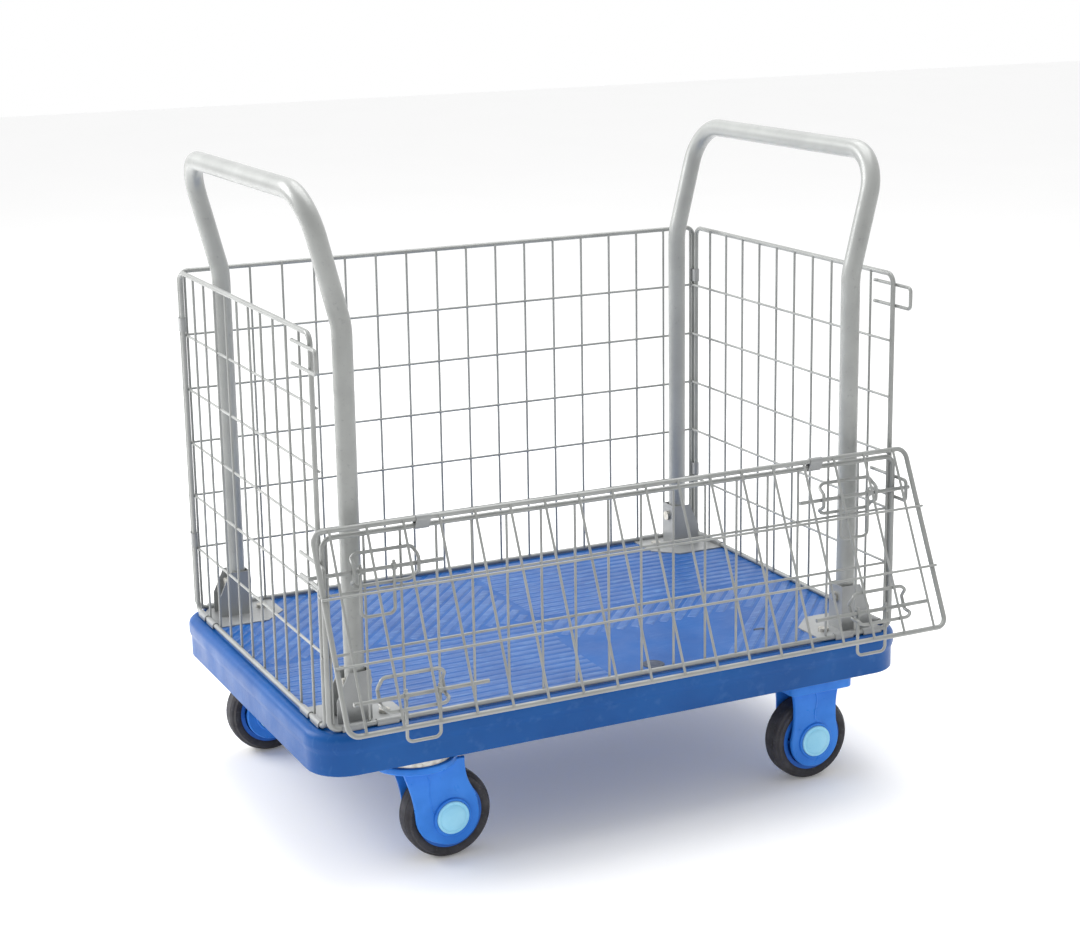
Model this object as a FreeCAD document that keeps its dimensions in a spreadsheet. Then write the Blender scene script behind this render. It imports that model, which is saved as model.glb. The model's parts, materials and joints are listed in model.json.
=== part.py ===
import FreeCAD, Part
import math
import os

import Sketcher
from FreeCAD import Placement, Rotation, Vector

# Folding platform cart: a moulded deck on four castors, with a welded-wire cage whose front gate folds down.
# Millimetres. +X runs along the deck to the right, +Y to the back, +Z up. The origin is on the floor, under the
# middle of the whole cart with its gate hanging.

SIZES = (
    ("deckmid", 50, "Y of the deck's centre line"),
    ("deckhalfx", 455, "half length of the deck"),
    ("deckhalfy", 302, "half width of the deck"),
    ("deckcorner", 55, "corner radius of the deck in plan"),
    ("deckbottom", 162, "underside of the skirt and of the castor bosses"),
    ("deckstep", 196, "height where the rim steps out from the skirt"),
    ("decktop", 220, "height of the load surface"),
    ("treadheight", 1, "height of the ribbed load field above the deck"),
    ("treadendx", 424, "half length of the load field between the handles' feet"),
    ("treadendy", 180, "half width of the load field between the handles' feet"),
    ("treadsidex", 312, "half length of the load field between the base plates"),
    ("treadsidey", 276, "half width of the load field between the base plates"),
    ("rimstep", 3, "how far the rim stands out from the skirt"),
    ("rimroll", 11, "radius of the rolled top edge"),
    ("deckwall", 4, "wall of the moulding"),
    ("ribwall", 3, "thickness of the ribs under the deck"),
    ("ribdepth", 28, "depth of the ribs under the deck"),
    ("ribcross", 215, "X of the outer cross ribs under the deck"),
    ("bossradius", 57, "radius of the castor bosses"),
    ("bossfloor", 22, "thickness of the castor bosses' lower plates"),
    ("railz", 224, "height of the cage's bottom rails"),
    ("rodradius", 3.5, "radius of the frame rods"),
    ("wireradius", 1.8, "radius of the mesh wires"),
    ("wirepitch", 50, "distance between upright wires"),
    ("rodbend", 14, "bend radius of the frame rods"),
    ("uprightoffset", 3.2, "distance from the frame plane inward to the upright wires"),
    ("crossoffset", 4.6, "distance from the frame plane inward to the cross wires"),
    ("stub", 4.5, "how far a cross wire runs past the rod's centre line"),
    ("endstub", 2.5, "the same on an end panel, where it would meet the next panel"),
    ("endx", 433, "X of the end panels"),
    ("endhalf", 275, "half width of the end panels"),
    ("fronty", 285, "distance from the deck's centre line to the front and back panels"),
    ("fronthalf", 432, "half width of the front and back panels"),
    ("cageheight", 516, "height of the end and back panels"),
    ("lowerheight", 256, "height of the lower front panel"),
    ("crossfirst", 97, "height of the first cross wire"),
    ("crosspitch", 81.25, "distance between cross wires"),
    ("gatey", 291, "distance from the deck's centre line to the gate's hinge rail"),
    ("gatez", 491, "height of the gate's hinge rail"),
    ("gatehalf", 447, "half width of the gate"),
    ("gateheight", 258, "hinge rail to free rail"),
    ("gatecross", 86, "distance between the gate's cross wires"),
    ("gatelean", 25, "angle between the hanging gate and plumb"),
    ("weld", 0.3, "how far welded wires sink into each other, and how far a guide clears its bolt"),
    ("latchradius", 2.5, "radius of the keeper and guide wire"),
    ("keeperx", 438.8, "X of the keeper loops"),
    ("keeperout", 309, "distance from the deck's centre line to a keeper's outer leg"),
    ("keeperin", 222, "distance from the deck's centre line to a keeper's ends"),
    ("keeperhalf", 15, "half height of a keeper loop"),
    ("keeperbend", 6, "bend radius of a keeper loop"),
    ("boltlow", 433, "height of the lower latch bolts"),
    ("boltgate", 218.5, "distance from the hinge rail to the gate's latch bolts"),
    ("boltradius", 2.75, "radius of a latch bolt"),
    ("boltlength", 184, "length of a latch bolt"),
    ("boltoffset", 8.2, "distance from a panel's plane to its latch bolt"),
    ("boltlocked", 363, "X of a bolt's middle when it is in its keeper"),
    ("boltopen", 339, "X of a bolt's middle when it is drawn back"),
    ("guidex", 351, "X of the middle of a latch guide"),
    ("guidehalf", 44, "half width of a latch guide"),
    ("guideheight", 22, "half height of a latch guide"),
    ("guideflat", 5, "height of the flat end of a guide's leg"),
    ("guidebow", 12, "height where a guide's leg has bowed out over its bolt"),
    ("guidebend", 4, "bend radius of a guide's legs"),
    ("guideshift", 4.5, "distance from the gate's bolts back to the middle of their guides"),
    ("grip", 46, "width of a latch handle"),
    ("griplength", 62, "length of a latch handle below its bolt"),
    ("griptip", 70, "distance from a bolt's tip to the outer leg of its handle"),
    ("gripcorner", 8, "bend radius of a latch handle"),
    ("gripstub", 4.5, "length of a latch handle's stubs above its eyes"),
    ("gripradius", 2.2, "radius of the latch handle wire"),
    ("eyeradius", 4.8, "outer radius of a latch handle's eyes"),
    ("eyebore", 2.82, "bore of a latch handle's eyes"),
    ("eyewidth", 5, "width of a latch handle's eyes"),
    ("handlex", 380.5, "X of a handle's legs"),
    ("handley", 247, "distance from the deck's centre line to a handle's legs"),
    ("handleradius", 13.5, "radius of the handle tube"),
    ("handlebore", 12, "inner radius of the handle tube"),
    ("handlefoot", 223, "height of the handle tube's lower ends"),
    ("kinkz", 740, "height where a handle leans outward"),
    ("kinkbend", 100, "bend radius where a handle leans outward"),
    ("gripz", 909, "height of a handle's grip"),
    ("gripx", 423, "X of a handle's grip"),
    ("gripbend", 60, "bend radius at the ends of a grip"),
    ("sheet", 2, "thickness of the base plates and brackets"),
    ("platez", 220.2, "underside of the base plates"),
    ("platex", 318, "X of a base plate's inner edge"),
    ("platey", 186, "distance from the deck's centre line to a base plate's inner edge"),
    ("platecut", 34, "diagonal cut at a base plate's inner corner"),
    ("platenotchx", 14, "cut at a base plate's outer corner, along X"),
    ("platenotchy", 20, "cut at a base plate's outer corner, along Y"),
    ("platehole", 24, "distance from a base plate's inner edge to its bolt, along X"),
    ("plateholey", 64, "distance from a base plate's inner edge to its bolt, along Y"),
    ("hookbore", 3.8, "inner radius of the hooks and clips that wrap a rod"),
    ("hookwall", 1.1, "thickness of the hooks and clips that wrap a rod"),
    ("hookwidth", 30, "width of a base plate's hooks"),
    ("clipx", 297, "X of the gate's hinge clips"),
    ("clipwidth", 20, "width of a hinge clip or a corner clip"),
    ("cliplow", 325, "height of the lower corner clips"),
    ("cliphigh", 652, "height of the upper corner clips"),
    ("bracketweb", 364, "X of a handle bracket's web"),
    ("bracketfoot", 412, "X of a handle bracket's outer edge at its foot"),
    ("brackethead", 395, "X of a handle bracket's outer edge at its head"),
    ("bracketrise", 30, "height where a handle bracket starts to slope"),
    ("bracketheight", 66, "height of a handle bracket"),
    ("bracketgap", 16, "distance from a leg's centre line to a bracket flange"),
    ("boltz", 270, "height of the bolts through the handle legs"),
    ("pinradius", 4, "radius of the bolts"),
    ("headradius", 7.5, "radius of the bolt heads"),
    ("headheight", 4.5, "height of the bolt heads"),
    ("seat", 0.1, "gap under a bolt head"),
    ("snug", 0.05, "clearance round a bolt"),
    ("wheelradius", 62.5, "radius of a wheel"),
    ("wheelhalf", 18.5, "half width of a tyre"),
    ("coreradius", 47, "radius of a wheel core"),
    ("corehalf", 16, "half width of a wheel core at its rim"),
    ("corerim", 7, "thickness of a wheel core's rim"),
    ("coreweb", 6, "half thickness of a wheel core's web"),
    ("tyreside", 5, "how far a tyre's side slopes at the tread and at the core"),
    ("tyreshoulder", 7, "width of a tyre's shoulder"),
    ("hubradius", 17, "radius of a wheel's hub"),
    ("hubhalf", 20.5, "half width of a wheel's hub"),
    ("sleeveradius", 8, "outer radius of a wheel's bearing sleeve"),
    ("axleradius", 5, "radius of an axle"),
    ("running", 0.08, "clearance between an axle and its bearing sleeve"),
    ("castory", 240, "distance from the deck's centre line to the wheels"),
    ("fixedx", 320, "X of the fixed castors"),
    ("swivelx", 300, "X of the swivel castors' kingpins"),
    ("trail", 44, "distance from a kingpin to its wheel's axle"),
    ("forkgap", 21.5, "half the gap between a fork's legs"),
    ("forkwall", 5, "thickness of a fork's legs"),
    ("forkdisc", 40, "radius of a fork's ends"),
    ("forktop", 35, "half width of a fixed fork at its head"),
    ("forkflare", 6, "how far a fixed fork widens to its plate"),
    ("forkside", 39, "half width of a fork level with its axle"),
    ("forkfoot", 6, "height above the axle where a fork's legs start to narrow"),
    ("forkneck", 40, "height above the axle where a fixed fork's legs are narrowest"),
    ("forkfront", 20, "distance from a swivel fork's axle to its front edge at the crown"),
    ("forkback", 38, "distance from the kingpin to a swivel fork's back edge at the crown"),
    ("forkcurve", 14, "height above the axle where a swivel fork's back edge leaves the disc"),
    ("forkroot", 3, "how far a fork's legs reach into its crown"),
    ("platemargin", 5, "how far a fixed castor's plate is inside its boss, along X"),
    ("platemarginy", 12, "how far a fixed castor's plate is inside its boss, along Y"),
    ("collarradius", 27, "radius of the collar round a hub cap"),
    ("collarheight", 3, "height of the collar round a hub cap"),
    ("capradius", 23, "radius of a hub cap"),
    ("capheight", 7, "height of a hub cap"),
    ("crownradius", 59, "radius of a swivel castor's crown"),
    ("crownbottom", 143, "underside of a castor's crown"),
    ("crowntop", 153, "top of a swivel castor's crown"),
    ("racegap", 0.4, "gap between a swivel castor's crown and its race"),
    ("raceradius", 54, "radius of a swivel castor's race"),
    ("kingpin", 7, "radius of a kingpin"),
    ("kingpintop", 180, "height of a kingpin's upper end"),
    ("kingpinrim", 4, "how far a kingpin's head stands out from it"),
    ("kingpinhead", 6, "height of a kingpin's head"),
    ("swivelgap", 0.35, "clearance between a kingpin and its crown"),
    ("screwcircle", 42, "radius of the circle of castor screws"),
    ("screwradius", 3, "radius of the castor screws"),
    ("screwtop", 178, "height of the castor screws' upper ends"),
)

doc = FreeCAD.newDocument("cart")
sheet = doc.addObject("Spreadsheet::Sheet", "dims")
for row, (alias, number, note) in enumerate(SIZES, 1):
    sheet.set(f"A{row}", note)
    sheet.set(f"B{row}", str(number))
    sheet.setAlias(f"B{row}", alias)
doc.recompute()

subparts = []

# The middles of a base plate's hooks, which lie between the upright wires that come down to the rails.
HOOKS_ON_END_RAIL = 205, 244
HOOKS_ON_SIDE_RAIL = 352, 400

CORNERS = (
    ("front_left", -1, -1),
    ("front_right", 1, -1),
    ("rear_left", -1, 1),
    ("rear_right", 1, 1),
)


def size(quantity):
    """A number, or the value of an expression on the sheet's aliases."""
    if isinstance(quantity, str):
        return float(sheet.evalExpression(quantity))
    return float(quantity)


def bind(item, name, quantity):
    """Set a property, and bind it to the sheet when the quantity is an expression."""
    setattr(item, name, size(quantity))
    if isinstance(quantity, str):
        item.setExpression(name, quantity)


def place(x, y, z, rotation=None):
    """A placement whose Y counts from the deck's centre line."""
    base = Vector(size(x), size(y) + size("dims.deckmid"), size(z))
    return Placement(base, rotation or Rotation())


def new_body(label, placement):
    body = doc.addObject("PartDesign::Body", label)
    body.Label = label
    body.AllowCompound = True
    body.Placement = placement
    subparts.append(body)
    return body


def new_sketch(body, name, role, offset=0):
    """A sketch on one of the body's own origin planes, or at a distance along that plane's normal."""
    sketch = body.newObject("Sketcher::SketchObject", name)
    plane = [f for f in body.Origin.OriginFeatures if f.Role == role][0]
    sketch.AttachmentSupport = [(plane, "")]
    sketch.MapMode = "FlatFace"
    sketch.AttachmentOffset = Placement(Vector(0, 0, size(offset)), Rotation())
    if isinstance(offset, str):
        sketch.setExpression("AttachmentOffset.Base.z", offset)
    return sketch


def fix(sketch, kind, quantity, *places):
    """Add a dimension to a sketch, bound to the sheet when the quantity is an expression."""
    index = sketch.addConstraint(Sketcher.Constraint(kind, *places, size(quantity)))
    if isinstance(quantity, str):
        sketch.setExpression(f"Constraints[{index}]", quantity)


def circle(sketch, x, y, radius):
    shape = Part.Circle(Vector(size(x), size(y), 0), Vector(0, 0, 1), size(radius))
    index = sketch.addGeometry(shape)
    fix(sketch, "DistanceX", x, -1, 1, index, 3)
    fix(sketch, "DistanceY", y, -1, 1, index, 3)
    fix(sketch, "Radius", radius, index)


def polygon(sketch, corners):
    """A closed outline of straight lines, each corner dimensioned from the sketch's origin."""
    points = [Vector(size(x), size(y), 0) for x, y in corners]
    first = len(sketch.Geometry)
    for start, end in zip(points, points[1:] + points[:1]):
        sketch.addGeometry(Part.LineSegment(start, end))
    for index, (x, y) in enumerate(corners):
        before = first + (index - 1) % len(corners)
        sketch.addConstraint(Sketcher.Constraint("Coincident", before, 2, first + index, 1))
        fix(sketch, "DistanceX", x, -1, 1, first + index, 1)
        fix(sketch, "DistanceY", y, -1, 1, first + index, 1)


def bends_of(points, radii):
    """The arc at each inner corner of a run of points, as its first, middle and last points."""
    for before, corner, after, radius in zip(points, points[1:], points[2:], radii):
        back = (before - corner).normalize()
        ahead = (after - corner).normalize()
        half = back.getAngle(ahead) / 2
        reach = radius / math.tan(half)
        centre = corner + (back + ahead).normalize() * (radius / math.sin(half))
        middle = centre + (corner - centre).normalize() * radius
        yield corner + back * reach, middle, corner + ahead * reach


def bent_path(sketch, corners, bend):
    """An open run of straight lines through the corners, joined by tangent arcs of one bend radius."""
    points = [Vector(size(x), size(y), 0) for x, y in corners]
    lines = []
    arcs = []
    start = points[0]
    for first, middle, last in bends_of(points, [size(bend)] * (len(points) - 2)):
        lines.append(sketch.addGeometry(Part.LineSegment(start, first)))
        arcs.append(sketch.addGeometry(Part.Arc(first, middle, last)))
        start = last
    lines.append(sketch.addGeometry(Part.LineSegment(start, points[-1])))
    constraints = []
    for before, arc, after in zip(lines, arcs, lines[1:]):
        end = sketch.Geometry[before].EndPoint
        near = 1 if sketch.Geometry[arc].StartPoint.distanceToPoint(end) < 0.001 else 2
        constraints.append(Sketcher.Constraint("Tangent", before, 2, arc, near))
        constraints.append(Sketcher.Constraint("Tangent", arc, 3 - near, after, 1))
    sketch.addConstraint(constraints)
    for arc in arcs:
        fix(sketch, "Radius", bend, arc)
    for place_in_line, line, (x, y) in ((1, lines[0], corners[0]), (2, lines[-1], corners[-1])):
        fix(sketch, "DistanceX", x, -1, 1, line, place_in_line)
        fix(sketch, "DistanceY", y, -1, 1, line, place_in_line)


def rounded_rectangle(sketch, half_x, half_y, radius):
    """A closed rectangle round the origin, with four rounded corners."""
    wide, deep, round_off = size(half_x), size(half_y), size(radius)
    lines = []
    arcs = []
    for quarter in range(4):
        turn = Rotation(Vector(0, 0, 1), 90 * quarter)
        across, along = (wide, deep) if quarter % 2 == 0 else (deep, wide)
        start = turn.multVec(Vector(across, -along + round_off, 0))
        end = turn.multVec(Vector(across, along - round_off, 0))
        centre = turn.multVec(Vector(across - round_off, along - round_off, 0))
        lines.append(sketch.addGeometry(Part.LineSegment(start, end)))
        base = Part.Circle(centre, Vector(0, 0, 1), round_off)
        low = math.radians(90 * quarter)
        arcs.append(sketch.addGeometry(Part.ArcOfCircle(base, low, low + math.pi / 2)))
    for quarter in range(4):
        following = lines[(quarter + 1) % 4]
        sketch.addConstraint(Sketcher.Constraint("Tangent", lines[quarter], 2, arcs[quarter], 1))
        sketch.addConstraint(Sketcher.Constraint("Tangent", arcs[quarter], 2, following, 1))
        fix(sketch, "Radius", radius, arcs[quarter])


def pad(body, name, sketch, length, midplane=False, backward=False):
    feature = body.newObject("PartDesign::Pad", name)
    feature.Profile = sketch
    bind(feature, "Length", length)
    feature.Midplane = midplane
    feature.Reversed = backward
    return feature


def pocket(body, name, sketch, length=None, midplane=False, backward=False):
    """Cut a sketch out of the body, and make sure that it took something away."""
    doc.recompute()
    before = body.Shape.Volume
    feature = body.newObject("PartDesign::Pocket", name)
    feature.Profile = sketch
    if length is None:
        feature.Type = "ThroughAll"
    else:
        bind(feature, "Length", length)
    feature.Midplane = midplane
    feature.Reversed = backward
    doc.recompute()
    if feature.Shape.Volume > before - 1:
        raise ValueError(f"{body.Label}: {name} cuts nothing")
    return feature


def row(body, name, feature, sketch, axis, length, count):
    """Repeat a feature along one of its sketch's axes."""
    pattern = body.newObject("PartDesign::LinearPattern", name)
    pattern.Originals = [feature]
    pattern.Direction = (sketch, [axis])
    bind(pattern, "Length", length)
    pattern.Occurrences = count
    body.Tip = pattern
    return pattern


def revolve(body, name, corners):
    """A solid of revolution about the body's Y axis; corners are (radius, y)."""
    sketch = new_sketch(body, f"{name}_profile", "XY_Plane")
    polygon(sketch, corners)
    feature = body.newObject("PartDesign::Revolution", name)
    feature.Profile = sketch
    feature.ReferenceAxis = (sketch, ["V_Axis"])
    feature.Angle = 360
    return feature


def pipe(body, name, profile, spine):
    feature = body.newObject("PartDesign::AdditivePipe", name)
    feature.Profile = profile
    feature.Spine = (spine, [])
    return feature


def bent_wire(points, radii, radius):
    """A round bar along straight runs joined by arcs, in space, as a solid."""
    edges = []
    start = points[0]
    for first, middle, last in bends_of(points, radii):
        edges.append(Part.LineSegment(start, first).toShape())
        edges.append(Part.Arc(first, middle, last).toShape())
        start = last
    edges.append(Part.LineSegment(start, points[-1]).toShape())
    section = Part.Wire(Part.Circle(points[0], points[1] - points[0], radius).toShape())
    return Part.Wire(edges).makePipeShell([section], True, True)


def shape_part(label, shape, placement=None):
    """A sub-part whose shape is made directly, for wire and tube bent in more than one plane."""
    item = doc.addObject("Part::Feature", label)
    item.Label = label
    item.Shape = shape
    item.Placement = placement or place(0, 0, 0)
    subparts.append(item)


# Deck ------------------------------------------------------------------------------------------------------

CASTORS = (
    ("front_left", "-dims.swivelx", -1, 1),
    ("rear_left", "-dims.swivelx", 1, -1),
    ("front_right", "dims.fixedx", -1, 0),
    ("rear_right", "dims.fixedx", 1, 0),
)


def screw_places():
    """The castor screws, four on a circle round each castor's centre."""
    reach = size("dims.screwcircle") * math.sqrt(0.5)
    for _, x, side, _ in CASTORS:
        for across in (-reach, reach):
            for along in (-reach, reach):
                yield size(x) + across, side * size("dims.castory") + along


def make_deck():
    body = new_body("deck", place(0, 0, 0))
    skirt = new_sketch(body, "skirt_outline", "XY_Plane", "dims.deckbottom")
    inset = "dims.deckhalfx - dims.rimstep", "dims.deckhalfy - dims.rimstep"
    rounded_rectangle(skirt, *inset, "dims.deckcorner - dims.rimstep")
    pad(body, "skirt", skirt, "dims.deckstep - dims.deckbottom")
    rim = new_sketch(body, "rim_outline", "XY_Plane", "dims.deckstep")
    rounded_rectangle(rim, "dims.deckhalfx", "dims.deckhalfy", "dims.deckcorner")
    top = pad(body, "rim", rim, "dims.decktop - dims.deckstep")
    doc.recompute()
    edges = []
    for index, edge in enumerate(top.Shape.Edges, 1):
        box = edge.BoundBox
        if box.ZMin > size("dims.decktop") - 0.01:
            edges.append(f"Edge{index}")
    roll = body.newObject("PartDesign::Fillet", "rolled_edge")
    roll.Base = (top, edges)
    bind(roll, "Radius", "dims.rimroll")
    field = new_sketch(body, "tread_outline", "XY_Plane", "dims.decktop")
    corners = []
    for x, y in ((1, 1), (-1, 1), (-1, -1), (1, -1)):
        at_end = f"{x} * dims.treadendx", f"{y} * dims.treadendy"
        inside = f"{x} * dims.treadsidex", f"{y} * dims.treadendy"
        at_side = f"{x} * dims.treadsidex", f"{y} * dims.treadsidey"
        corners.extend((at_end, inside, at_side) if x == y else (at_side, inside, at_end))
    polygon(field, corners)
    pad(body, "tread", field, "dims.treadheight")
    hollow = new_sketch(body, "hollow_outline", "XY_Plane", "dims.deckbottom")
    inner = "dims.deckhalfx - dims.rimstep - dims.deckwall", "dims.deckhalfy - dims.rimstep - dims.deckwall"
    rounded_rectangle(hollow, *inner, "dims.deckcorner - dims.rimstep - dims.deckwall")
    depth = "dims.decktop - dims.deckwall - dims.deckbottom"
    pocket(body, "hollow", hollow, depth, backward=True)

    rib_top, half = "dims.decktop - dims.deckwall", "dims.ribwall / 2"
    long_rib = new_sketch(body, "long_rib", "XY_Plane", rib_top)
    end = "(dims.deckhalfx - dims.rimstep - dims.deckwall / 2)"
    polygon(long_rib, ((f"-{end}", f"-{half}"), (end, f"-{half}"), (end, half), (f"-{end}", half)))
    pad(body, "long_rib_depth", long_rib, "dims.ribdepth", backward=True)
    cross_ribs = new_sketch(body, "cross_ribs", "XY_Plane", rib_top)
    end = "(dims.deckhalfy - dims.rimstep - dims.deckwall / 2)"
    for middle in ("-dims.ribcross", "0", "dims.ribcross"):
        left, right = f"{middle} - {half}", f"{middle} + {half}"
        polygon(cross_ribs, ((left, f"-{end}"), (right, f"-{end}"), (right, end), (left, end)))
    pad(body, "cross_rib_depth", cross_ribs, "dims.ribdepth", backward=True)

    bosses = new_sketch(body, "boss_outline", "XY_Plane", "dims.deckbottom")
    for _, x, side, _ in CASTORS:
        circle(bosses, x, f"{side} * dims.castory", "dims.bossradius")
    pad(body, "bosses", bosses, "dims.decktop - dims.deckwall / 2 - dims.deckbottom")
    cores = new_sketch(body, "boss_core", "XY_Plane", "dims.deckbottom + dims.bossfloor")
    for _, x, side, _ in CASTORS:
        circle(cores, x, f"{side} * dims.castory", "dims.bossradius - dims.deckwall")
    height = "dims.decktop - 2 * dims.deckwall - dims.deckbottom - dims.bossfloor"
    pocket(body, "boss_hollow", cores, height, backward=True)
    holes = new_sketch(body, "castor_holes", "XY_Plane", "dims.deckbottom")
    for x, y in screw_places():
        circle(holes, x, y, "dims.screwradius + dims.snug")
    for _, x, side, swing in CASTORS:
        if swing:
            circle(holes, x, f"{side} * dims.castory", "dims.kingpin + dims.snug")
    pocket(body, "castor_hole_depth", holes, "dims.kingpintop - dims.deckbottom + 1", backward=True)
    feet = new_sketch(body, "plate_holes", "XY_Plane", "dims.decktop")
    for x, y in plate_bolt_places():
        circle(feet, x, y, "dims.screwradius + dims.snug")
    pocket(body, "plate_hole_depth", feet, "dims.deckwall + 1")


# Cage ------------------------------------------------------------------------------------------------------


def wire_panel(label, half, height, columns, cross_first, cross_pitch, crosses, placement, stub="dims.stub"):
    """A welded panel: a closed rod frame, with upright wires and cross wires on its inner face.

    In the body's own frame the bottom rail's middle is the origin, Y is up the panel and +Z its outer face.
    """
    body = new_body(label, placement)
    spine = new_sketch(body, "frame_line", "XY_Plane")
    corners = ((0, 0), (half, 0), (half, height), (f"-({half})", height), (f"-({half})", 0), (0, 0))
    bent_path(spine, corners, "dims.rodbend")
    section = new_sketch(body, "frame_section", "YZ_Plane")
    circle(section, 0, 0, "dims.rodradius")
    pipe(body, "frame", section, spine)
    upright = new_sketch(body, "upright_section", "XZ_Plane")
    circle(upright, f"-dims.wirepitch * {(columns - 1) / 2}", "-dims.uprightoffset", "dims.wireradius")
    uprights = pad(body, "uprights", upright, height, backward=True)
    row(body, "upright_row", uprights, upright, "H_Axis", f"dims.wirepitch * {columns - 1}", columns)
    cross = new_sketch(body, "cross_section", "YZ_Plane")
    circle(cross, cross_first, "-dims.crossoffset", "dims.wireradius")
    cross_wires = pad(body, "cross_wires", cross, f"2 * ({half} + {stub})", midplane=True)
    row(body, "cross_row", cross_wires, cross, "H_Axis", f"{cross_pitch} * {crosses - 1}", crosses)


def make_cage():
    upright = Rotation(Vector(1, 0, 0), 90)
    about_z = Vector(0, 0, 1)
    left = Rotation(about_z, -90).multiply(upright)
    right = Rotation(about_z, 90).multiply(upright)
    back = Rotation(about_z, 180).multiply(upright)
    full = "dims.cageheight", "dims.crossfirst", "dims.crosspitch"
    for label, x, turn in (("end_panel_left", "-dims.endx", left), ("end_panel_right", "dims.endx", right)):
        spot = place(x, 0, "dims.railz", turn)
        wire_panel(label, "dims.endhalf", full[0], 10, full[1], full[2], 5, spot, "dims.endstub")
    back_place = place(0, "dims.fronty", "dims.railz", back)
    wire_panel("back_panel", "dims.fronthalf", full[0], 18, full[1], full[2], 5, back_place)
    front_place = place(0, "-dims.fronty", "dims.railz", upright)
    wire_panel("front_panel", "dims.fronthalf", "dims.lowerheight", 18, full[1], full[2], 2, front_place)
    hanging = Rotation(Vector(1, 0, 0), 90 + 180 - size("dims.gatelean"))
    gate_place = place(0, "-dims.gatey", "dims.gatez", hanging)
    cross = "dims.gatecross"
    wire_panel("gate", "dims.gatehalf", "dims.gateheight", 18, cross, cross, 2, gate_place)
    return gate_place


def make_keepers():
    """Keeper loops: wire staples on the end panels that stand out past the front, one above the other."""
    outer, inner, half = size("dims.keeperout"), size("dims.keeperin"), size("dims.keeperhalf")
    bend = size("dims.keeperbend")
    heights = size("dims.boltlow"), size("dims.gatez + dims.boltgate")
    for label, side in (("keepers_left", -1), ("keepers_right", 1)):
        loops = []
        for middle in heights:
            x = side * size("dims.keeperx")
            points = [
                Vector(x, -inner, middle + half),
                Vector(x, -outer, middle + half),
                Vector(x, -outer, middle - half),
                Vector(x, -inner, middle - half),
            ]
            loops.append(bent_wire(points, (bend, bend), size("dims.latchradius")))
        shape_part(label, Part.makeCompound(loops))


def guide_loop(side):
    """One latch guide in a panel's own frame, about its bolt's height: two bars, and two legs over the bolt."""
    wire = size("dims.latchradius")
    flat = size("dims.wireradius - dims.uprightoffset - dims.weld") + wire
    over = size("dims.boltoffset + dims.boltradius + dims.weld") + wire
    middle, half, rise = size("dims.guidex"), size("dims.guidehalf"), size("dims.guideheight")
    low, high = rise - size("dims.guideflat"), rise - size("dims.guidebow")
    solids = []
    for height in (-rise, rise):
        start = Vector(side * middle - half - wire, height, flat)
        solids.append(Part.makeCylinder(wire, 2 * (half + wire), start, Vector(1, 0, 0)))
    for across in (-half, half):
        x = side * middle + across
        points = [
            Vector(x, -rise - wire, flat),
            Vector(x, -low, flat),
            Vector(x, -high, over),
            Vector(x, high, over),
            Vector(x, low, flat),
            Vector(x, rise + wire, flat),
        ]
        solids.append(bent_wire(points, [size("dims.guidebend")] * 4, wire))
    return solids[0].multiFuse(solids[1:])


def make_guides(gate_place):
    front = place(0, "-dims.fronty", "dims.boltlow", Rotation(Vector(1, 0, 0), 90))
    along = Placement(Vector(0, size("dims.boltgate - dims.guideshift"), 0), Rotation())
    for label, spot in (("front_latch_guides", front), ("gate_latch_guides", gate_place.multiply(along))):
        loops = [guide_loop(side) for side in (-1, 1)]
        shape_part(label, Part.makeCompound(loops), spot)


def gate_point(along, out):
    """Y and Z of a point of the hanging gate, from its distance along the gate and out of its plane."""
    lean = math.radians(size("dims.gatelean"))
    y = -size("dims.gatey") - along * math.sin(lean) + out * math.cos(lean)
    z = size("dims.gatez") - along * math.cos(lean) - out * math.sin(lean)
    return y, z


def make_latches():
    """Four latch bolts and their handles: the lower pair is locked and the gate's pair is drawn back."""
    lower = -size("dims.fronty + dims.boltoffset"), size("dims.boltlow")
    upper = gate_point(size("dims.boltgate"), size("dims.boltoffset"))
    for level, (y, z), x in (("front", lower, "dims.boltlocked"), ("gate", upper, "dims.boltopen")):
        for hand, side in (("left", -1), ("right", 1)):
            spot = place(f"{side} * {x}", y, z)
            bolt = new_body(f"{level}_bolt_{hand}", spot)
            section = new_sketch(bolt, "section", "YZ_Plane")
            circle(section, 0, 0, "dims.boltradius")
            pad(bolt, "rod", section, "dims.boltlength", midplane=True)
            latch_handle(f"{level}_bolt_handle_{hand}", spot, side)


def latch_handle(label, spot, side):
    """A wire grip that hangs from its bolt by two eyes."""
    body = new_body(label, spot)
    near, far = "(dims.boltlength / 2 - dims.griptip - dims.grip)", "(dims.boltlength / 2 - dims.griptip)"
    left, right = (near, far) if side > 0 else (f"-{far}", f"-{near}")
    spine = new_sketch(body, "grip_line", "XZ_Plane")
    top, bottom = "-dims.eyebore - 1", "-dims.griplength"
    bent_path(spine, ((left, top), (left, bottom), (right, bottom), (right, top)), "dims.gripcorner")
    section = new_sketch(body, "grip_section", "XY_Plane", top)
    circle(section, left, 0, "dims.gripradius")
    pipe(body, "grip", section, spine)
    stubs = new_sketch(body, "stub_section", "XY_Plane", "dims.eyebore + 1")
    for x in (left, right):
        circle(stubs, x, 0, "dims.gripradius")
    pad(body, "stubs", stubs, "dims.gripstub")
    for number, x in enumerate((left, right)):
        eye = new_sketch(body, f"eye_{number}", "YZ_Plane", f"{x} - dims.eyewidth / 2")
        circle(eye, 0, 0, "dims.eyeradius")
        pad(body, f"eye_ring_{number}", eye, "dims.eyewidth")
    bore = new_sketch(body, "bore_section", "YZ_Plane")
    circle(bore, 0, 0, "dims.eyebore")
    pocket(body, "bore", bore, 2 * size("dims.boltlength"), midplane=True)


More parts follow.
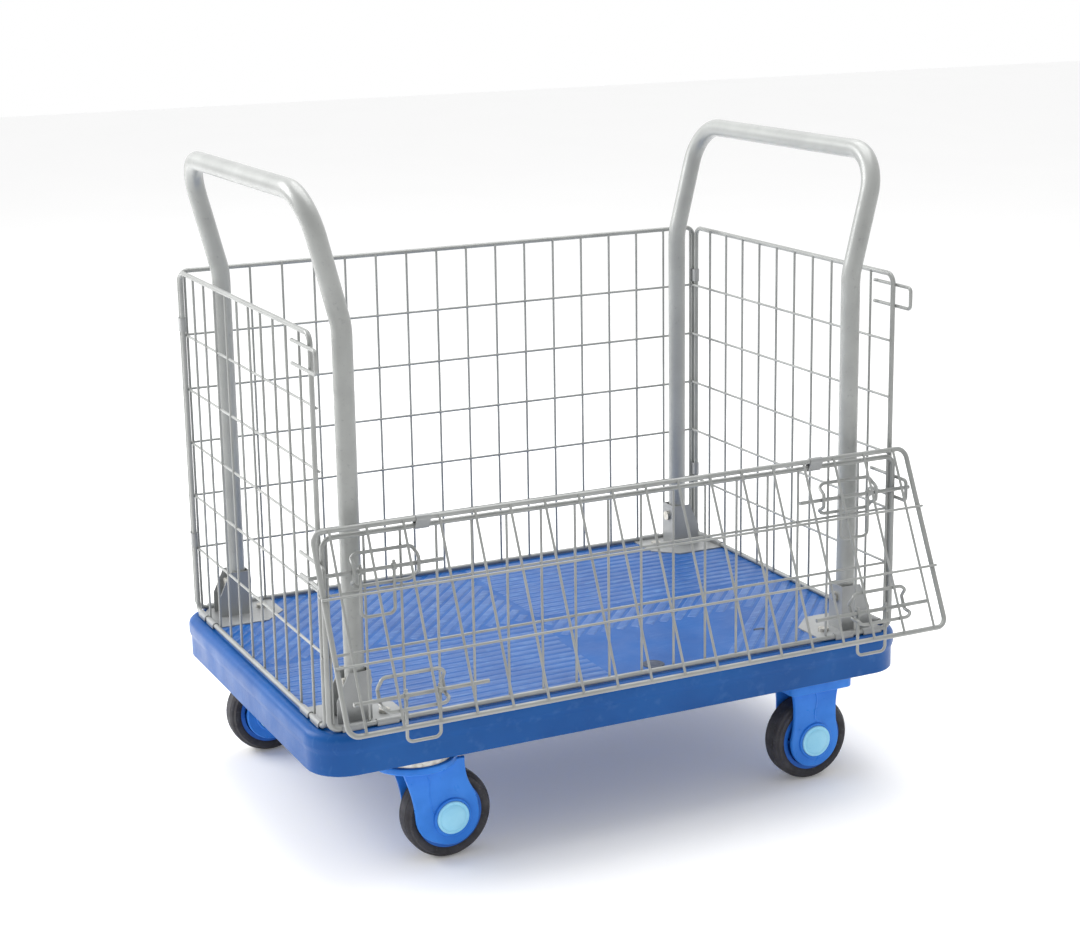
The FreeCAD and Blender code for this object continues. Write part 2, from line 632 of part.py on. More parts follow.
def stadium(centre_a, centre_b, radius, start, end):
    """A solid round two parallel axes along +X, from start to end; centres are (y, z)."""
    a = Vector(start, *centre_a)
    b = Vector(start, *centre_b)
    length = Vector(end - start, 0, 0)
    side = (b - a).cross(Vector(1, 0, 0)).normalize() * radius
    edges = [
        Part.LineSegment(a + side, b + side).toShape(),
        Part.Arc(b + side, b + (b - a).normalize() * radius, b - side).toShape(),
        Part.LineSegment(b - side, a - side).toShape(),
        Part.Arc(a - side, a - (b - a).normalize() * radius, a + side).toShape(),
    ]
    return Part.Face(Part.Wire(edges)).extrude(length)


def make_clips():
    """Sheet clips that wrap two rods: two for the gate's hinge, and two at each rear corner of the cage."""
    inner = size("dims.hookbore")
    outer = inner + size("dims.hookwall")
    lower = -size("dims.fronty"), size("dims.railz + dims.lowerheight")
    upper = -size("dims.gatey"), size("dims.gatez")
    width, spare = size("dims.clipwidth"), size("dims.sheet")
    hinges = []
    for side in (-1, 1):
        start = side * size("dims.clipx") - width / 2
        clip = stadium(lower, upper, outer, start, start + width)
        hinges.append(clip.cut(stadium(lower, upper, inner, start - spare, start + width + spare)))
    shape_part("gate_hinge_clips", Part.makeCompound(hinges))
    corners = []
    for side in (-1, 1):
        # A clip is made along +X and turned upright, which takes its Z to -X.
        post = size("dims.endhalf"), -side * size("dims.endx")
        rod = size("dims.fronty"), -side * size("dims.fronthalf")
        for bottom in (size("dims.cliplow"), size("dims.cliphigh")):
            clip = stadium(post, rod, outer, bottom, bottom + width)
            clip = clip.cut(stadium(post, rod, inner, bottom - spare, bottom + width + spare))
            clip.rotate(Vector(0, 0, 0), Vector(0, 1, 0), -90)
            corners.append(clip)
    shape_part("corner_clips", Part.makeCompound(corners))


# Base plates, brackets and handles -----------------------------------------------------------------------


def plate_bolt_places():
    """One bolt through the free part of each base plate."""
    for _, side_x, side_y in CORNERS:
        yield side_x * size("dims.platex + dims.platehole"), side_y * size("dims.platey + dims.plateholey")


def hook(rail_axis, rail, start, width):
    """An inverted-U hook over a rail that runs along rail_axis: its legs reach down to the deck."""
    bore = size("dims.hookbore")
    outer = bore + size("dims.hookwall")
    foot = size("dims.platez - dims.railz")
    arch = Part.makeCylinder(outer, width).cut(Part.makeCylinder(bore, width))
    arch = arch.common(Part.makeBox(4 * outer, 2 * outer, width, Vector(-2 * outer, 0, 0)))
    wall = outer - bore
    for x in (-outer, bore):
        arch = arch.fuse(Part.makeBox(wall, -foot, width, Vector(x, foot, 0)))
    if rail_axis == "Y":
        arch.rotate(Vector(0, 0, 0), Vector(1, 0, 0), 90)
        arch.translate(Vector(rail, start + width, size("dims.railz")))
    else:
        arch.rotate(Vector(0, 0, 0), Vector(1, 0, 0), 90)
        arch.rotate(Vector(0, 0, 0), Vector(0, 0, 1), 90)
        arch.translate(Vector(start, rail, size("dims.railz")))
    return arch


def make_base_plates():
    """A sheet plate in each corner of the cage, with two hooks over each of the two rails that meet there."""
    far_x, far_y = size("dims.endx - dims.hookbore"), size("dims.fronty - dims.hookbore")
    near_x, near_y = size("dims.platex"), size("dims.platey")
    cut = size("dims.platecut")
    outline = (
        (near_x + cut, near_y),
        (far_x, near_y),
        (far_x, far_y - size("dims.platenotchy")),
        (far_x - size("dims.platenotchx"), far_y),
        (near_x, far_y),
        (near_x, near_y + cut),
    )
    width, thickness = size("dims.hookwidth"), size("dims.sheet")
    for (name, side_x, side_y), (bolt_x, bolt_y) in zip(CORNERS, plate_bolt_places()):
        corners = [Vector(side_x * x, side_y * y, size("dims.platez")) for x, y in outline]
        face = Part.Face(Part.makePolygon(corners + corners[:1]))
        plate = face.extrude(Vector(0, 0, thickness))
        for middle in HOOKS_ON_END_RAIL:
            plate = plate.fuse(hook("Y", side_x * size("dims.endx"), side_y * middle - width / 2, width))
        for middle in HOOKS_ON_SIDE_RAIL:
            plate = plate.fuse(hook("X", side_y * size("dims.fronty"), side_x * middle - width / 2, width))
        start = Vector(bolt_x, bolt_y, size("dims.platez") - thickness)
        drill = Part.makeCylinder(size("dims.screwradius + dims.snug"), 3 * thickness, start)
        shape_part(f"base_plate_{name}", plate.cut(drill).removeSplitter())


def make_brackets():
    """A U-channel round the foot of each handle leg, standing on its base plate."""
    foot = size("dims.platez + dims.sheet")
    for name, side_x, side_y in CORNERS:
        turn = Rotation(Vector(0, 0, 1), 0 if side_x > 0 else 180)
        body = new_body(f"bracket_{name}", place(0, f"{side_y} * dims.handley", foot, turn))
        flange = new_sketch(body, "flange_outline", "XZ_Plane")
        corners = (
            ("dims.bracketweb", 0),
            ("dims.bracketfoot", 0),
            ("dims.bracketfoot", "dims.bracketrise"),
            ("dims.brackethead", "dims.bracketheight"),
            ("dims.bracketweb", "dims.bracketheight"),
        )
        polygon(flange, corners)
        pad(body, "block", flange, "2 * dims.bracketgap + dims.sheet", midplane=True)
        inside = new_sketch(body, "channel_outline", "XZ_Plane")
        web, edge = "dims.bracketweb + dims.sheet", "dims.bracketfoot + dims.sheet"
        below, above = "-dims.sheet", "dims.bracketheight + dims.sheet"
        polygon(inside, ((web, below), (edge, below), (edge, above), (web, above)))
        pocket(body, "channel", inside, "2 * dims.bracketgap - dims.sheet", midplane=True)
        drill = new_sketch(body, "bolt_hole", "YZ_Plane")
        circle(drill, 0, "dims.boltz - dims.platez - dims.sheet", "dims.pinradius + dims.snug")
        pocket(body, "bolt_hole_depth", drill, "2 * dims.bracketfoot", midplane=True)


def make_bolts():
    """The bolts through the handle legs, the bolts through the base plates and the castor screws."""
    pin, head, rise = size("dims.pinradius"), size("dims.headradius"), size("dims.headheight")
    web, leg = size("dims.bracketweb"), size("dims.handlex + dims.handleradius")
    seat = size("dims.seat")
    bolts = []
    for _, side_x, side_y in CORNERS:
        y, z = side_y * size("dims.handley"), size("dims.boltz")
        out = Vector(side_x, 0, 0)
        shank = Part.makeCylinder(pin, leg - web + rise, Vector(side_x * (web - rise), y, z), out)
        nut = Part.makeCylinder(head, rise, Vector(side_x * (web - rise - seat), y, z), out)
        cap = Part.makeCylinder(head, rise, Vector(side_x * (leg + seat), y, z), out)
        bolts.append(shank.fuse(nut).fuse(cap).removeSplitter())
    shape_part("bracket_bolts", Part.makeCompound(bolts))
    screws = []
    top, length = size("dims.platez + dims.sheet"), size("dims.deckwall + dims.sheet")
    for x, y in plate_bolt_places():
        shank = Part.makeCylinder(size("dims.screwradius"), length + rise / 2, Vector(x, y, top - length))
        cap = Part.makeCylinder(head, rise, Vector(x, y, top + seat))
        screws.append(shank.fuse(cap).removeSplitter())
    shape_part("base_plate_bolts", Part.makeCompound(screws))
    screws = []
    bottom = size("dims.crowntop + dims.racegap + dims.seat")
    for x, y in screw_places():
        height = size("dims.screwtop") - bottom
        screws.append(Part.makeCylinder(size("dims.screwradius"), height, Vector(x, y, bottom)))
    shape_part("castor_screws", Part.makeCompound(screws))


def make_handles():
    """Two tube handles: two upright legs that lean outward above the cage and meet in a grip."""
    leg_x, leg_y = size("dims.handlex"), size("dims.handley")
    foot, kink, top = size("dims.handlefoot"), size("dims.kinkz"), size("dims.gripz")
    bends = [size("dims.kinkbend"), size("dims.gripbend"), size("dims.gripbend"), size("dims.kinkbend")]
    for label, side in (("handle_left", -1), ("handle_right", 1)):
        out = side * size("dims.gripx")
        points = [
            Vector(side * leg_x, -leg_y, foot),
            Vector(side * leg_x, -leg_y, kink),
            Vector(out, -leg_y, top),
            Vector(out, leg_y, top),
            Vector(side * leg_x, leg_y, kink),
            Vector(side * leg_x, leg_y, foot),
        ]
        tube = bent_wire(points, bends, size("dims.handleradius"))
        tube = tube.cut(bent_wire(points, bends, size("dims.handlebore")))
        reach = 2 * size("dims.handleradius")
        for y in (-leg_y, leg_y):
            start = Vector(side * (leg_x - reach), y, size("dims.boltz"))
            drill = Part.makeCylinder(size("dims.pinradius + dims.snug"), 2 * reach, start, Vector(side, 0, 0))
            tube = tube.cut(drill)
        shape_part(label, tube)


# Castors ---------------------------------------------------------------------------------------------------


def make_castor(name, x, side, swing):
    """One castor; swing is the side that its wheel trails to, or 0 when it is fixed."""
    y = f"{side} * dims.castory"
    hub = place(f"{x} + {swing} * dims.trail", y, "dims.wheelradius")
    make_wheel(name, hub)
    if swing:
        make_swivel_fork(name, x, y, hub, swing)
        make_axles(name, hub, (0,))
    else:
        make_fixed_fork(name, hub)


def make_axles(name, middle, wheels):
    """The axles and hub caps on one line along Y; wheels are the distances of their wheels from the middle."""
    axles = new_body(f"axle_{name}", middle)
    caps = new_body(f"hub_caps_{name}", middle)
    face = "dims.forkgap + dims.forkwall + dims.collarheight"
    for number, wheel in enumerate(wheels):
        section = new_sketch(axles, f"section_{number}", "XZ_Plane", wheel)
        circle(section, 0, 0, "dims.axleradius")
        pad(axles, f"rod_{number}", section, "2 * (dims.forkgap + dims.forkwall)", midplane=True)
        for sign in (-1, 1):
            end = f"{number}_{sign + 1}"
            disc = new_sketch(caps, f"cap_{end}", "XZ_Plane", f"{wheel} + {sign} * ({face})")
            circle(disc, 0, 0, "dims.capradius")
            pad(caps, f"disc_{end}", disc, "dims.capheight - dims.collarheight", backward=sign < 0)


def make_wheel(name, hub):
    tyre = new_body(f"tyre_{name}", hub)
    inner, outer, half = "dims.coreradius", "dims.wheelradius", "dims.wheelhalf"
    profile = (
        (inner, "-dims.corehalf"),
        (f"{inner} + dims.tyreside", f"-{half}"),
        (f"{outer} - dims.tyreside", f"-{half}"),
        (outer, f"-{half} + dims.tyreshoulder"),
        (outer, f"{half} - dims.tyreshoulder"),
        (f"{outer} - dims.tyreside", half),
        (f"{inner} + dims.tyreside", half),
        (inner, "dims.corehalf"),
    )
    revolve(tyre, "tread", profile)
    core = new_body(f"wheel_core_{name}", hub)
    profile = (
        ("dims.sleeveradius", "-dims.hubhalf"),
        ("dims.hubradius", "-dims.hubhalf"),
        ("dims.hubradius", "-dims.coreweb"),
        ("dims.coreradius - dims.corerim", "-dims.coreweb"),
        ("dims.coreradius - dims.corerim", "-dims.corehalf"),
        ("dims.coreradius", "-dims.corehalf"),
        ("dims.coreradius", "dims.corehalf"),
        ("dims.coreradius - dims.corerim", "dims.corehalf"),
        ("dims.coreradius - dims.corerim", "dims.coreweb"),
        ("dims.hubradius", "dims.coreweb"),
        ("dims.hubradius", "dims.hubhalf"),
        ("dims.sleeveradius", "dims.hubhalf"),
    )
    revolve(core, "rim_and_hub", profile)
    sleeve = new_body(f"bearing_sleeve_{name}", hub)
    bore = "dims.axleradius + dims.running"
    ends = "-dims.hubhalf", "dims.hubhalf"
    profile = ((bore, ends[0]), ("dims.sleeveradius", ends[0]), ("dims.sleeveradius", ends[1]), (bore, ends[1]))
    revolve(sleeve, "sleeve", profile)


def fork_legs(body, head):
    """Two legs with round ends about the axle; head is the outline above the ends, as (x, z) from the axle."""
    inner, wall = "dims.forkgap", "dims.forkwall"
    for sign in (-1, 1):
        start = f"{sign} * {inner}"
        outline = new_sketch(body, f"leg_outline_{sign + 1}", "XZ_Plane", start)
        polygon(outline, head)
        pad(body, f"leg_{sign + 1}", outline, wall, backward=sign < 0)
        disc = new_sketch(body, f"end_outline_{sign + 1}", "XZ_Plane", start)
        circle(disc, 0, 0, "dims.forkdisc")
        pad(body, f"end_{sign + 1}", disc, wall, backward=sign < 0)
        collar = new_sketch(body, f"collar_outline_{sign + 1}", "XZ_Plane", f"{sign} * ({inner} + {wall})")
        circle(collar, 0, 0, "dims.collarradius")
        pad(body, f"collar_{sign + 1}", collar, "dims.collarheight", backward=sign < 0)
    bore = new_sketch(body, "axle_bore", "XZ_Plane")
    circle(bore, 0, 0, "dims.axleradius + dims.snug")
    pocket(body, "axle_hole", bore, "2 * (dims.forkgap + dims.forkwall)", midplane=True)


def make_fixed_fork(name, hub):
    body = new_body(f"fork_{name}", hub)
    rise = "dims.crownbottom - dims.wheelradius"
    plate = new_sketch(body, "plate_outline", "XY_Plane", rise)
    wide, deep = "dims.bossradius - dims.platemargin", "dims.bossradius - dims.platemarginy"
    polygon(plate, ((f"-({wide})", f"-({deep})"), (wide, f"-({deep})"), (wide, deep), (f"-({wide})", deep)))
    pad(body, "plate", plate, "dims.deckbottom - dims.crownbottom")
    top = f"{rise} + dims.forkroot"
    fork_legs(body, (
        ("-dims.forkside", "dims.forkfoot"),
        ("dims.forkside", "dims.forkfoot"),
        ("dims.forktop", "dims.forkneck"),
        ("dims.forktop + dims.forkflare", top),
        ("-dims.forktop - dims.forkflare", top),
        ("-dims.forktop", "dims.forkneck"),
    ))
    holes = new_sketch(body, "screw_holes", "XY_Plane", rise)
    reach = f"dims.screwcircle * {math.sqrt(0.5):.6f}"
    for across in (-1, 1):
        for along in (-1, 1):
            circle(holes, f"{across} * {reach}", f"{along} * {reach}", "dims.screwradius + dims.snug")
    pocket(body, "screw_hole_depth", holes, backward=True)


def make_swivel_fork(name, x, y, hub, swing):
    body = new_body(f"fork_{name}", hub)
    rise = "dims.crownbottom - dims.wheelradius"
    back = f"-{swing} * dims.trail"
    crown = new_sketch(body, "crown_outline", "XY_Plane", rise)
    circle(crown, back, 0, "dims.crownradius")
    pad(body, "crown", crown, "dims.crowntop - dims.crownbottom")
    top = f"{rise} + dims.forkroot"
    # The last two corners lie on the round end and inside it.
    fork_legs(body, (
        (f"{swing} * dims.forkside", "dims.forkfoot"),
        (f"{swing} * dims.forkfront", top),
        (f"-{swing} * (dims.trail + dims.forkback)", top),
        (f"-{swing} * (dims.forkside - 1.4)", "dims.forkcurve"),
        (f"-{swing} * dims.forkdisc * 0.7", "-dims.forkdisc * 0.6"),
    ))
    bore = new_sketch(body, "kingpin_bore", "XY_Plane", rise)
    circle(bore, back, 0, "dims.kingpin + dims.swivelgap")
    pocket(body, "kingpin_hole", bore, backward=True)
    race = new_body(f"swivel_race_{name}", place(x, y, 0))
    ring = new_sketch(race, "race_outline", "XY_Plane", "dims.crowntop + dims.racegap")
    circle(ring, 0, 0, "dims.raceradius")
    circle(ring, 0, 0, "dims.kingpin + dims.snug")
    reach = f"dims.screwcircle * {math.sqrt(0.5):.6f}"
    for across in (-1, 1):
        for along in (-1, 1):
            circle(ring, f"{across} * {reach}", f"{along} * {reach}", "dims.screwradius + dims.snug")
    pad(race, "race", ring, "dims.deckbottom - dims.crowntop - dims.racegap")
    pin = new_body(f"kingpin_{name}", place(x, y, 0))
    head = new_sketch(pin, "head_outline", "XY_Plane", "dims.crownbottom - dims.racegap - dims.kingpinhead")
    circle(head, 0, 0, "dims.kingpin + dims.kingpinrim")
    pad(pin, "head", head, "dims.kingpinhead")
    shank = new_sketch(pin, "shank_outline", "XY_Plane", "dims.crownbottom - dims.kingpinhead / 2")
    circle(shank, 0, 0, "dims.kingpin")
    pad(pin, "shank", shank, "dims.kingpintop - dims.crownbottom + dims.kingpinhead / 2")


# Assembly --------------------------------------------------------------------------------------------------

make_deck()
hanging_gate = make_cage()
make_keepers()
make_guides(hanging_gate)
make_latches()
make_clips()
make_base_plates()
make_brackets()
make_bolts()
make_handles()
for castor in CASTORS:
    make_castor(*castor)
make_axles("fixed", place("dims.fixedx", 0, "dims.wheelradius"), ("-dims.castory", "dims.castory"))
doc.recompute()

for item in doc.Objects:
    if "Invalid" in item.State or "Error" in item.State:
        raise ValueError(f"{item.Label} failed: {item.State}")
for part in subparts:
    if part.Shape.isNull() or not part.Shape.isValid():
        raise ValueError(f"{part.Label} has no valid shape")

os.makedirs("parts", exist_ok=True)
for part in subparts:
    part.Shape.exportStep(os.path.join("parts", f"{part.Label}.step"))
    box = part.Shape.BoundBox
    spans = f"{box.XMin:8.1f}{box.XMax:8.1f}{box.YMin:8.1f}{box.YMax:8.1f}{box.ZMin:8.1f}{box.ZMax:8.1f}"
    print(f"{part.Label:28}{spans}  {len(part.Shape.Solids)} solid(s) {part.Shape.Volume / 1000:9.2f} cm3")
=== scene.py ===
import json
import math

import bmesh
import bpy
from mathutils import Matrix, Vector


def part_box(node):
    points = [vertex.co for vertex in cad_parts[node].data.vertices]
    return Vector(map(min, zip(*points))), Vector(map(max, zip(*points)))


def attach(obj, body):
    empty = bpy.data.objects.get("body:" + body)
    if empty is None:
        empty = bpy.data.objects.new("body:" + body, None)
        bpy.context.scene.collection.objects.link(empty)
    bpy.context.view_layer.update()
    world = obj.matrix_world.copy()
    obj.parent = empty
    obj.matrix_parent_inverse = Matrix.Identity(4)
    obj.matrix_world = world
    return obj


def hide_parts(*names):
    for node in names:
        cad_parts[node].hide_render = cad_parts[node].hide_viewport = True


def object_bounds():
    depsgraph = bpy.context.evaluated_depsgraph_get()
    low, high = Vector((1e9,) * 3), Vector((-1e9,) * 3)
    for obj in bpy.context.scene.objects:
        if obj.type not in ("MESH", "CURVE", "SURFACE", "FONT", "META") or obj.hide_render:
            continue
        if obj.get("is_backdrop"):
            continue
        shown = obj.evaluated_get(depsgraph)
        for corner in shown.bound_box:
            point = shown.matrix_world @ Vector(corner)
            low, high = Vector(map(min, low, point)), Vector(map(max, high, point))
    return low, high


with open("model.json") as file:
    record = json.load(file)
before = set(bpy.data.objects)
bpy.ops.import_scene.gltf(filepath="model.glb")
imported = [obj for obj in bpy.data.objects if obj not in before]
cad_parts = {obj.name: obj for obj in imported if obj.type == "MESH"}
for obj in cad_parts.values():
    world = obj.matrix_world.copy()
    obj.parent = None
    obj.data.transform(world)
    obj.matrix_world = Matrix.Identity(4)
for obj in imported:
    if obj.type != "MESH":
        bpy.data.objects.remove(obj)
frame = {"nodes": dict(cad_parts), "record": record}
cad_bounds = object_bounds()

# Folding platform cart: a blue moulded deck on four castors, with a welded-wire cage and two tube handles.
# Metres. +X runs along the deck to the right, +Y to the back, +Z up.

# Places from the frame ------------------------------------------------------------------------------------

DECK_LOW, DECK_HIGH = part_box("deck")
MIDDLE_Y = (DECK_LOW.y + DECK_HIGH.y) / 2
DECK_BOTTOM = DECK_LOW.z
TREAD_HEIGHT = 0.001
DECK_TOP = DECK_HIGH.z - TREAD_HEIGHT
DECK_HALF_X = (DECK_HIGH.x - DECK_LOW.x) / 2
DECK_HALF_Y = (DECK_HIGH.y - DECK_LOW.y) / 2

CASTORS = (
    ("front_left", "swivel_front_left", "wheel_front_left"),
    ("rear_left", "swivel_rear_left", "wheel_rear_left"),
    ("front_right", "cart", "wheel_front_right"),
    ("rear_right", "cart", "wheel_rear_right"),
)

# Sizes ----------------------------------------------------------------------------------------------------

DECK_CORNER = 0.055
DECK_STEP = 0.196
RIM_STEP = 0.003
RIM_ROLL = 0.011
DECK_WALL = 0.004
RIB_DEPTH = 0.028
RIB_WALL = 0.003
RIB_CROSS = 0.215
BOSS_RADIUS = 0.057
BOSS_CENTRES = ((-0.300, -0.240), (-0.300, 0.240), (0.320, -0.240), (0.320, 0.240))

TREAD_PITCH = 0.018
TREAD_WIDTH = 0.0125
TREAD_MARGIN = 0.024
TREAD_GAP = 0.006
TREAD_SLOPE = math.radians(48)
RIB_STEP = 0.003
RIB_LEAST = 4

WHEEL_RADIUS = 0.0625
TYRE_SHOULDER = 0.0062
TYRE_HALF = 0.0185
CORE_RADIUS = 0.047
FORK_GAP = 0.0215
FORK_WALL = 0.005
FORK_DISC = 0.040
FORK_EDGE = 0.0015
HEAD_HALF_X = 0.052
HEAD_HALF_Y = 0.045
HEAD_CORNER = 0.010
COLLAR_RADIUS = 0.027
COLLAR_HEIGHT = 0.003
CAP_RADIUS = 0.023
CAP_HEIGHT = 0.007
CROWN_RADIUS = 0.059
CROWN_BOTTOM = 0.143
CROWN_TOP = 0.153
TRAIL = 0.044

GUIDE_HALF = 0.044
GUIDE_RISE = 0.022
GUIDE_CORNER = 0.010
GUIDE_WIRE = 0.0025
GUIDE_FLAT = 0.0008
GUIDE_OVER = 0.01375
GUIDE_SHIFT = 0.0045
BOLT_OFFSET = 0.0082
GATE_LEAN = math.radians(25)

PLUG_PLACE = (0.059, -0.253)
SLOT_PLACE = (0.266, -0.196)

SHARP_EDGE = math.radians(32)
FLOOR_REACH = 12.0
FRONT_LIGHT = 0.62
CAMERA_PLACE = (-1.2902, -2.6496, 1.2256)
CAMERA_TURN = (0.4515, -0.2307, -0.0156)
CAMERA_LENS = 70.548


# Materials ------------------------------------------------------------------------------------------------


def srgb(red, green, blue):
    """A display colour out of 255 as the linear colour that a shader takes."""
    linear = []
    for channel in (red, green, blue):
        value = channel / 255
        linear.append(value / 12.92 if value <= 0.04045 else ((value + 0.055) / 1.055) ** 2.4)
    return (*linear, 1.0)


class Surface:
    """A Principled material whose colour, roughness and bump come from textures in the object's own space."""

    def __init__(self, name, metallic=0.0, coat=0.0, specular=0.5):
        self.material = bpy.data.materials.new(name)
        self.material.use_nodes = True
        self.tree = self.material.node_tree
        self.shader = self.tree.nodes["Principled BSDF"]
        self.shader.inputs["Metallic"].default_value = metallic
        self.shader.inputs["Coat Weight"].default_value = coat
        self.shader.inputs["Coat Roughness"].default_value = 0.18
        self.shader.inputs["Specular IOR Level"].default_value = specular
        self.place = self.tree.nodes.new("ShaderNodeTexCoord").outputs["Object"]
        self.height = None

    def node(self, kind, **values):
        node = self.tree.nodes.new(kind)
        for name, value in values.items():
            setattr(node, name, value)
        return node

    def noise(self, scale, detail=4.0, stretch=(1, 1, 1)):
        """Soft noise with so many features to the metre."""
        mapping = self.node("ShaderNodeMapping")
        mapping.inputs["Scale"].default_value = stretch
        self.tree.links.new(self.place, mapping.inputs["Vector"])
        noise = self.node("ShaderNodeTexNoise")
        noise.inputs["Scale"].default_value = scale
        noise.inputs["Detail"].default_value = detail
        self.tree.links.new(mapping.outputs["Vector"], noise.inputs["Vector"])
        return noise.outputs["Fac"]

    def cells(self, scale):
        """Flat patches of random brightness, so many to the metre."""
        cells = self.node("ShaderNodeTexVoronoi")
        cells.inputs["Scale"].default_value = scale
        self.tree.links.new(self.place, cells.inputs["Vector"])
        grey = self.node("ShaderNodeRGBToBW")
        self.tree.links.new(cells.outputs["Color"], grey.inputs["Color"])
        return grey.outputs["Val"]

    def spread(self, factor, low, high, to_low, to_high):
        """A value from low to high, taken to the range from to_low to to_high."""
        spread = self.node("ShaderNodeMapRange")
        for name, value in (("From Min", low), ("From Max", high), ("To Min", to_low), ("To Max", to_high)):
            spread.inputs[name].default_value = value
        self.tree.links.new(factor, spread.inputs["Value"])
        return spread.outputs["Result"]

    def mix(self, factor, first, second):
        """Two colours mixed; each is a colour or the output of an earlier mix."""
        mix = self.node("ShaderNodeMix", data_type="RGBA")
        self.tree.links.new(factor, mix.inputs["Factor"])
        for socket, colour in ((mix.inputs[6], first), (mix.inputs[7], second)):
            if isinstance(colour, tuple):
                socket.default_value = colour
            else:
                self.tree.links.new(colour, socket)
        return mix.outputs[2]

    def paint(self, colour):
        self.tree.links.new(colour, self.shader.inputs["Base Color"])

    def rough(self, factor, low, high):
        self.tree.links.new(self.spread(factor, 0.3, 0.7, low, high), self.shader.inputs["Roughness"])

    def bump(self, factor, depth, strength=1.0):
        """Raise the surface by so many metres; bumps laid one after another add up."""
        bump = self.node("ShaderNodeBump")
        bump.inputs["Strength"].default_value = strength
        bump.inputs["Distance"].default_value = depth
        self.tree.links.new(factor, bump.inputs["Height"])
        if self.height is not None:
            self.tree.links.new(self.height, bump.inputs["Normal"])
        self.height = bump.outputs["Normal"]
        self.tree.links.new(self.height, self.shader.inputs["Normal"])


def deck_plastic(name, specular, wear_and_sheen):
    """Blue polypropylene with a fine moulded grain, a little uneven in tone, with pale patches that are
    partly rubbed wear and partly painted highlight; where there are more of them, as on the tread, there is
    more painted highlight.
    """
    surface = Surface(name, specular=specular)
    cloud = surface.spread(surface.noise(9), 0.35, 0.65, 0, 1)
    tone = surface.mix(cloud, srgb(8, 74, 142), srgb(16, 84, 154))
    # Pale patches: rubbed wear, and partly painted highlight that stands in for the whitish reflections on
    # the tread ribs.
    rubbed_and_sheen = surface.spread(surface.noise(60, 8, (1, 3, 1)), 0.62 - wear_and_sheen / 4, 0.85 - wear_and_sheen / 4, 0, wear_and_sheen)
    surface.paint(surface.mix(rubbed_and_sheen, tone, srgb(96, 138, 186)))
    surface.rough(surface.noise(22), 0.30, 0.44)
    surface.bump(surface.noise(1500, 2), 0.00012, 0.5)
    surface.bump(surface.noise(14, 2), 0.0006, 0.35)
    return surface.material


def fork_plastic(name, low, high, coat):
    """Tough moulded nylon with a soft sheen."""
    surface = Surface(name, coat=coat, specular=0.25)
    surface.paint(surface.mix(surface.spread(surface.noise(30), 0.35, 0.65, 0, 1), low, high))
    surface.rough(surface.noise(70), 0.26, 0.40)
    surface.bump(surface.noise(1400, 2), 0.0001, 0.35)
    return surface.material


def tyre_rubber():
    """Dark grey rubber, dusty in the tread."""
    surface = Surface("tyre_rubber", specular=0.35)
    cloud = surface.spread(surface.noise(45), 0.35, 0.65, 0, 1)
    base = surface.mix(cloud, srgb(46, 45, 49), srgb(64, 63, 67))
    dust = surface.spread(surface.noise(220, 8), 0.58, 0.8, 0, 0.5)
    surface.paint(surface.mix(dust, base, srgb(104, 102, 102)))
    surface.rough(surface.noise(120), 0.52, 0.72)
    surface.bump(surface.noise(1100, 4), 0.0002, 0.6)
    return surface.material


def grey_paint(name, low, high, speck_scale):
    """Silver-grey stoved paint over steel: a little orange peel, faint specks and a soft gloss."""
    surface = Surface(name, metallic=0.15, coat=0.3)
    tone = surface.mix(surface.spread(surface.noise(18), 0.35, 0.65, 0, 1), low, high)
    specks = surface.spread(surface.noise(speck_scale, 8), 0.62, 0.8, 0, 0.4)
    surface.paint(surface.mix(specks, tone, srgb(112, 113, 112)))
    surface.rough(surface.noise(70), 0.34, 0.46)
    surface.bump(surface.noise(420, 2), 0.00008, 0.5)
    return surface.material


def zinc_fastener():
    """Zinc-plated bolts, slightly yellow."""
    surface = Surface("zinc_fastener", metallic=0.9)
    tone = surface.spread(surface.noise(150), 0.35, 0.65, 0, 1)
    surface.paint(surface.mix(tone, srgb(170, 168, 160), srgb(204, 202, 196)))
    surface.rough(surface.noise(300), 0.26, 0.42)
    surface.bump(surface.noise(1200, 3), 0.00008, 0.5)
    return surface.material


def white_nylon():
    surface = Surface("white_nylon")
    surface.paint(surface.mix(surface.noise(60), srgb(222, 220, 210), srgb(238, 236, 228)))
    surface.rough(surface.noise(90), 0.38, 0.5)
    surface.bump(surface.noise(900, 2), 0.0001, 0.4)
    return surface.material


def dark_plug():
    surface = Surface("dark_plug")
    surface.paint(surface.mix(surface.noise(80), srgb(26, 40, 62), srgb(38, 54, 80)))
    surface.rough(surface.noise(120), 0.34, 0.48)
    surface.bump(surface.noise(1200, 2), 0.0001, 0.4)
    return surface.material


def studio_floor():
    """Plain pale floor with the faintest unevenness."""
    surface = Surface("studio_floor", specular=0.1)
    surface.paint(surface.mix(surface.noise(2), (0.93, 0.93, 0.93, 1.0), (0.96, 0.96, 0.96, 1.0)))
    surface.rough(surface.noise(30), 0.85, 0.95)
    surface.shader.inputs["Emission Color"].default_value = (1.0, 1.0, 1.0, 1.0)
    surface.shader.inputs["Emission Strength"].default_value = 0.10
    return surface.material


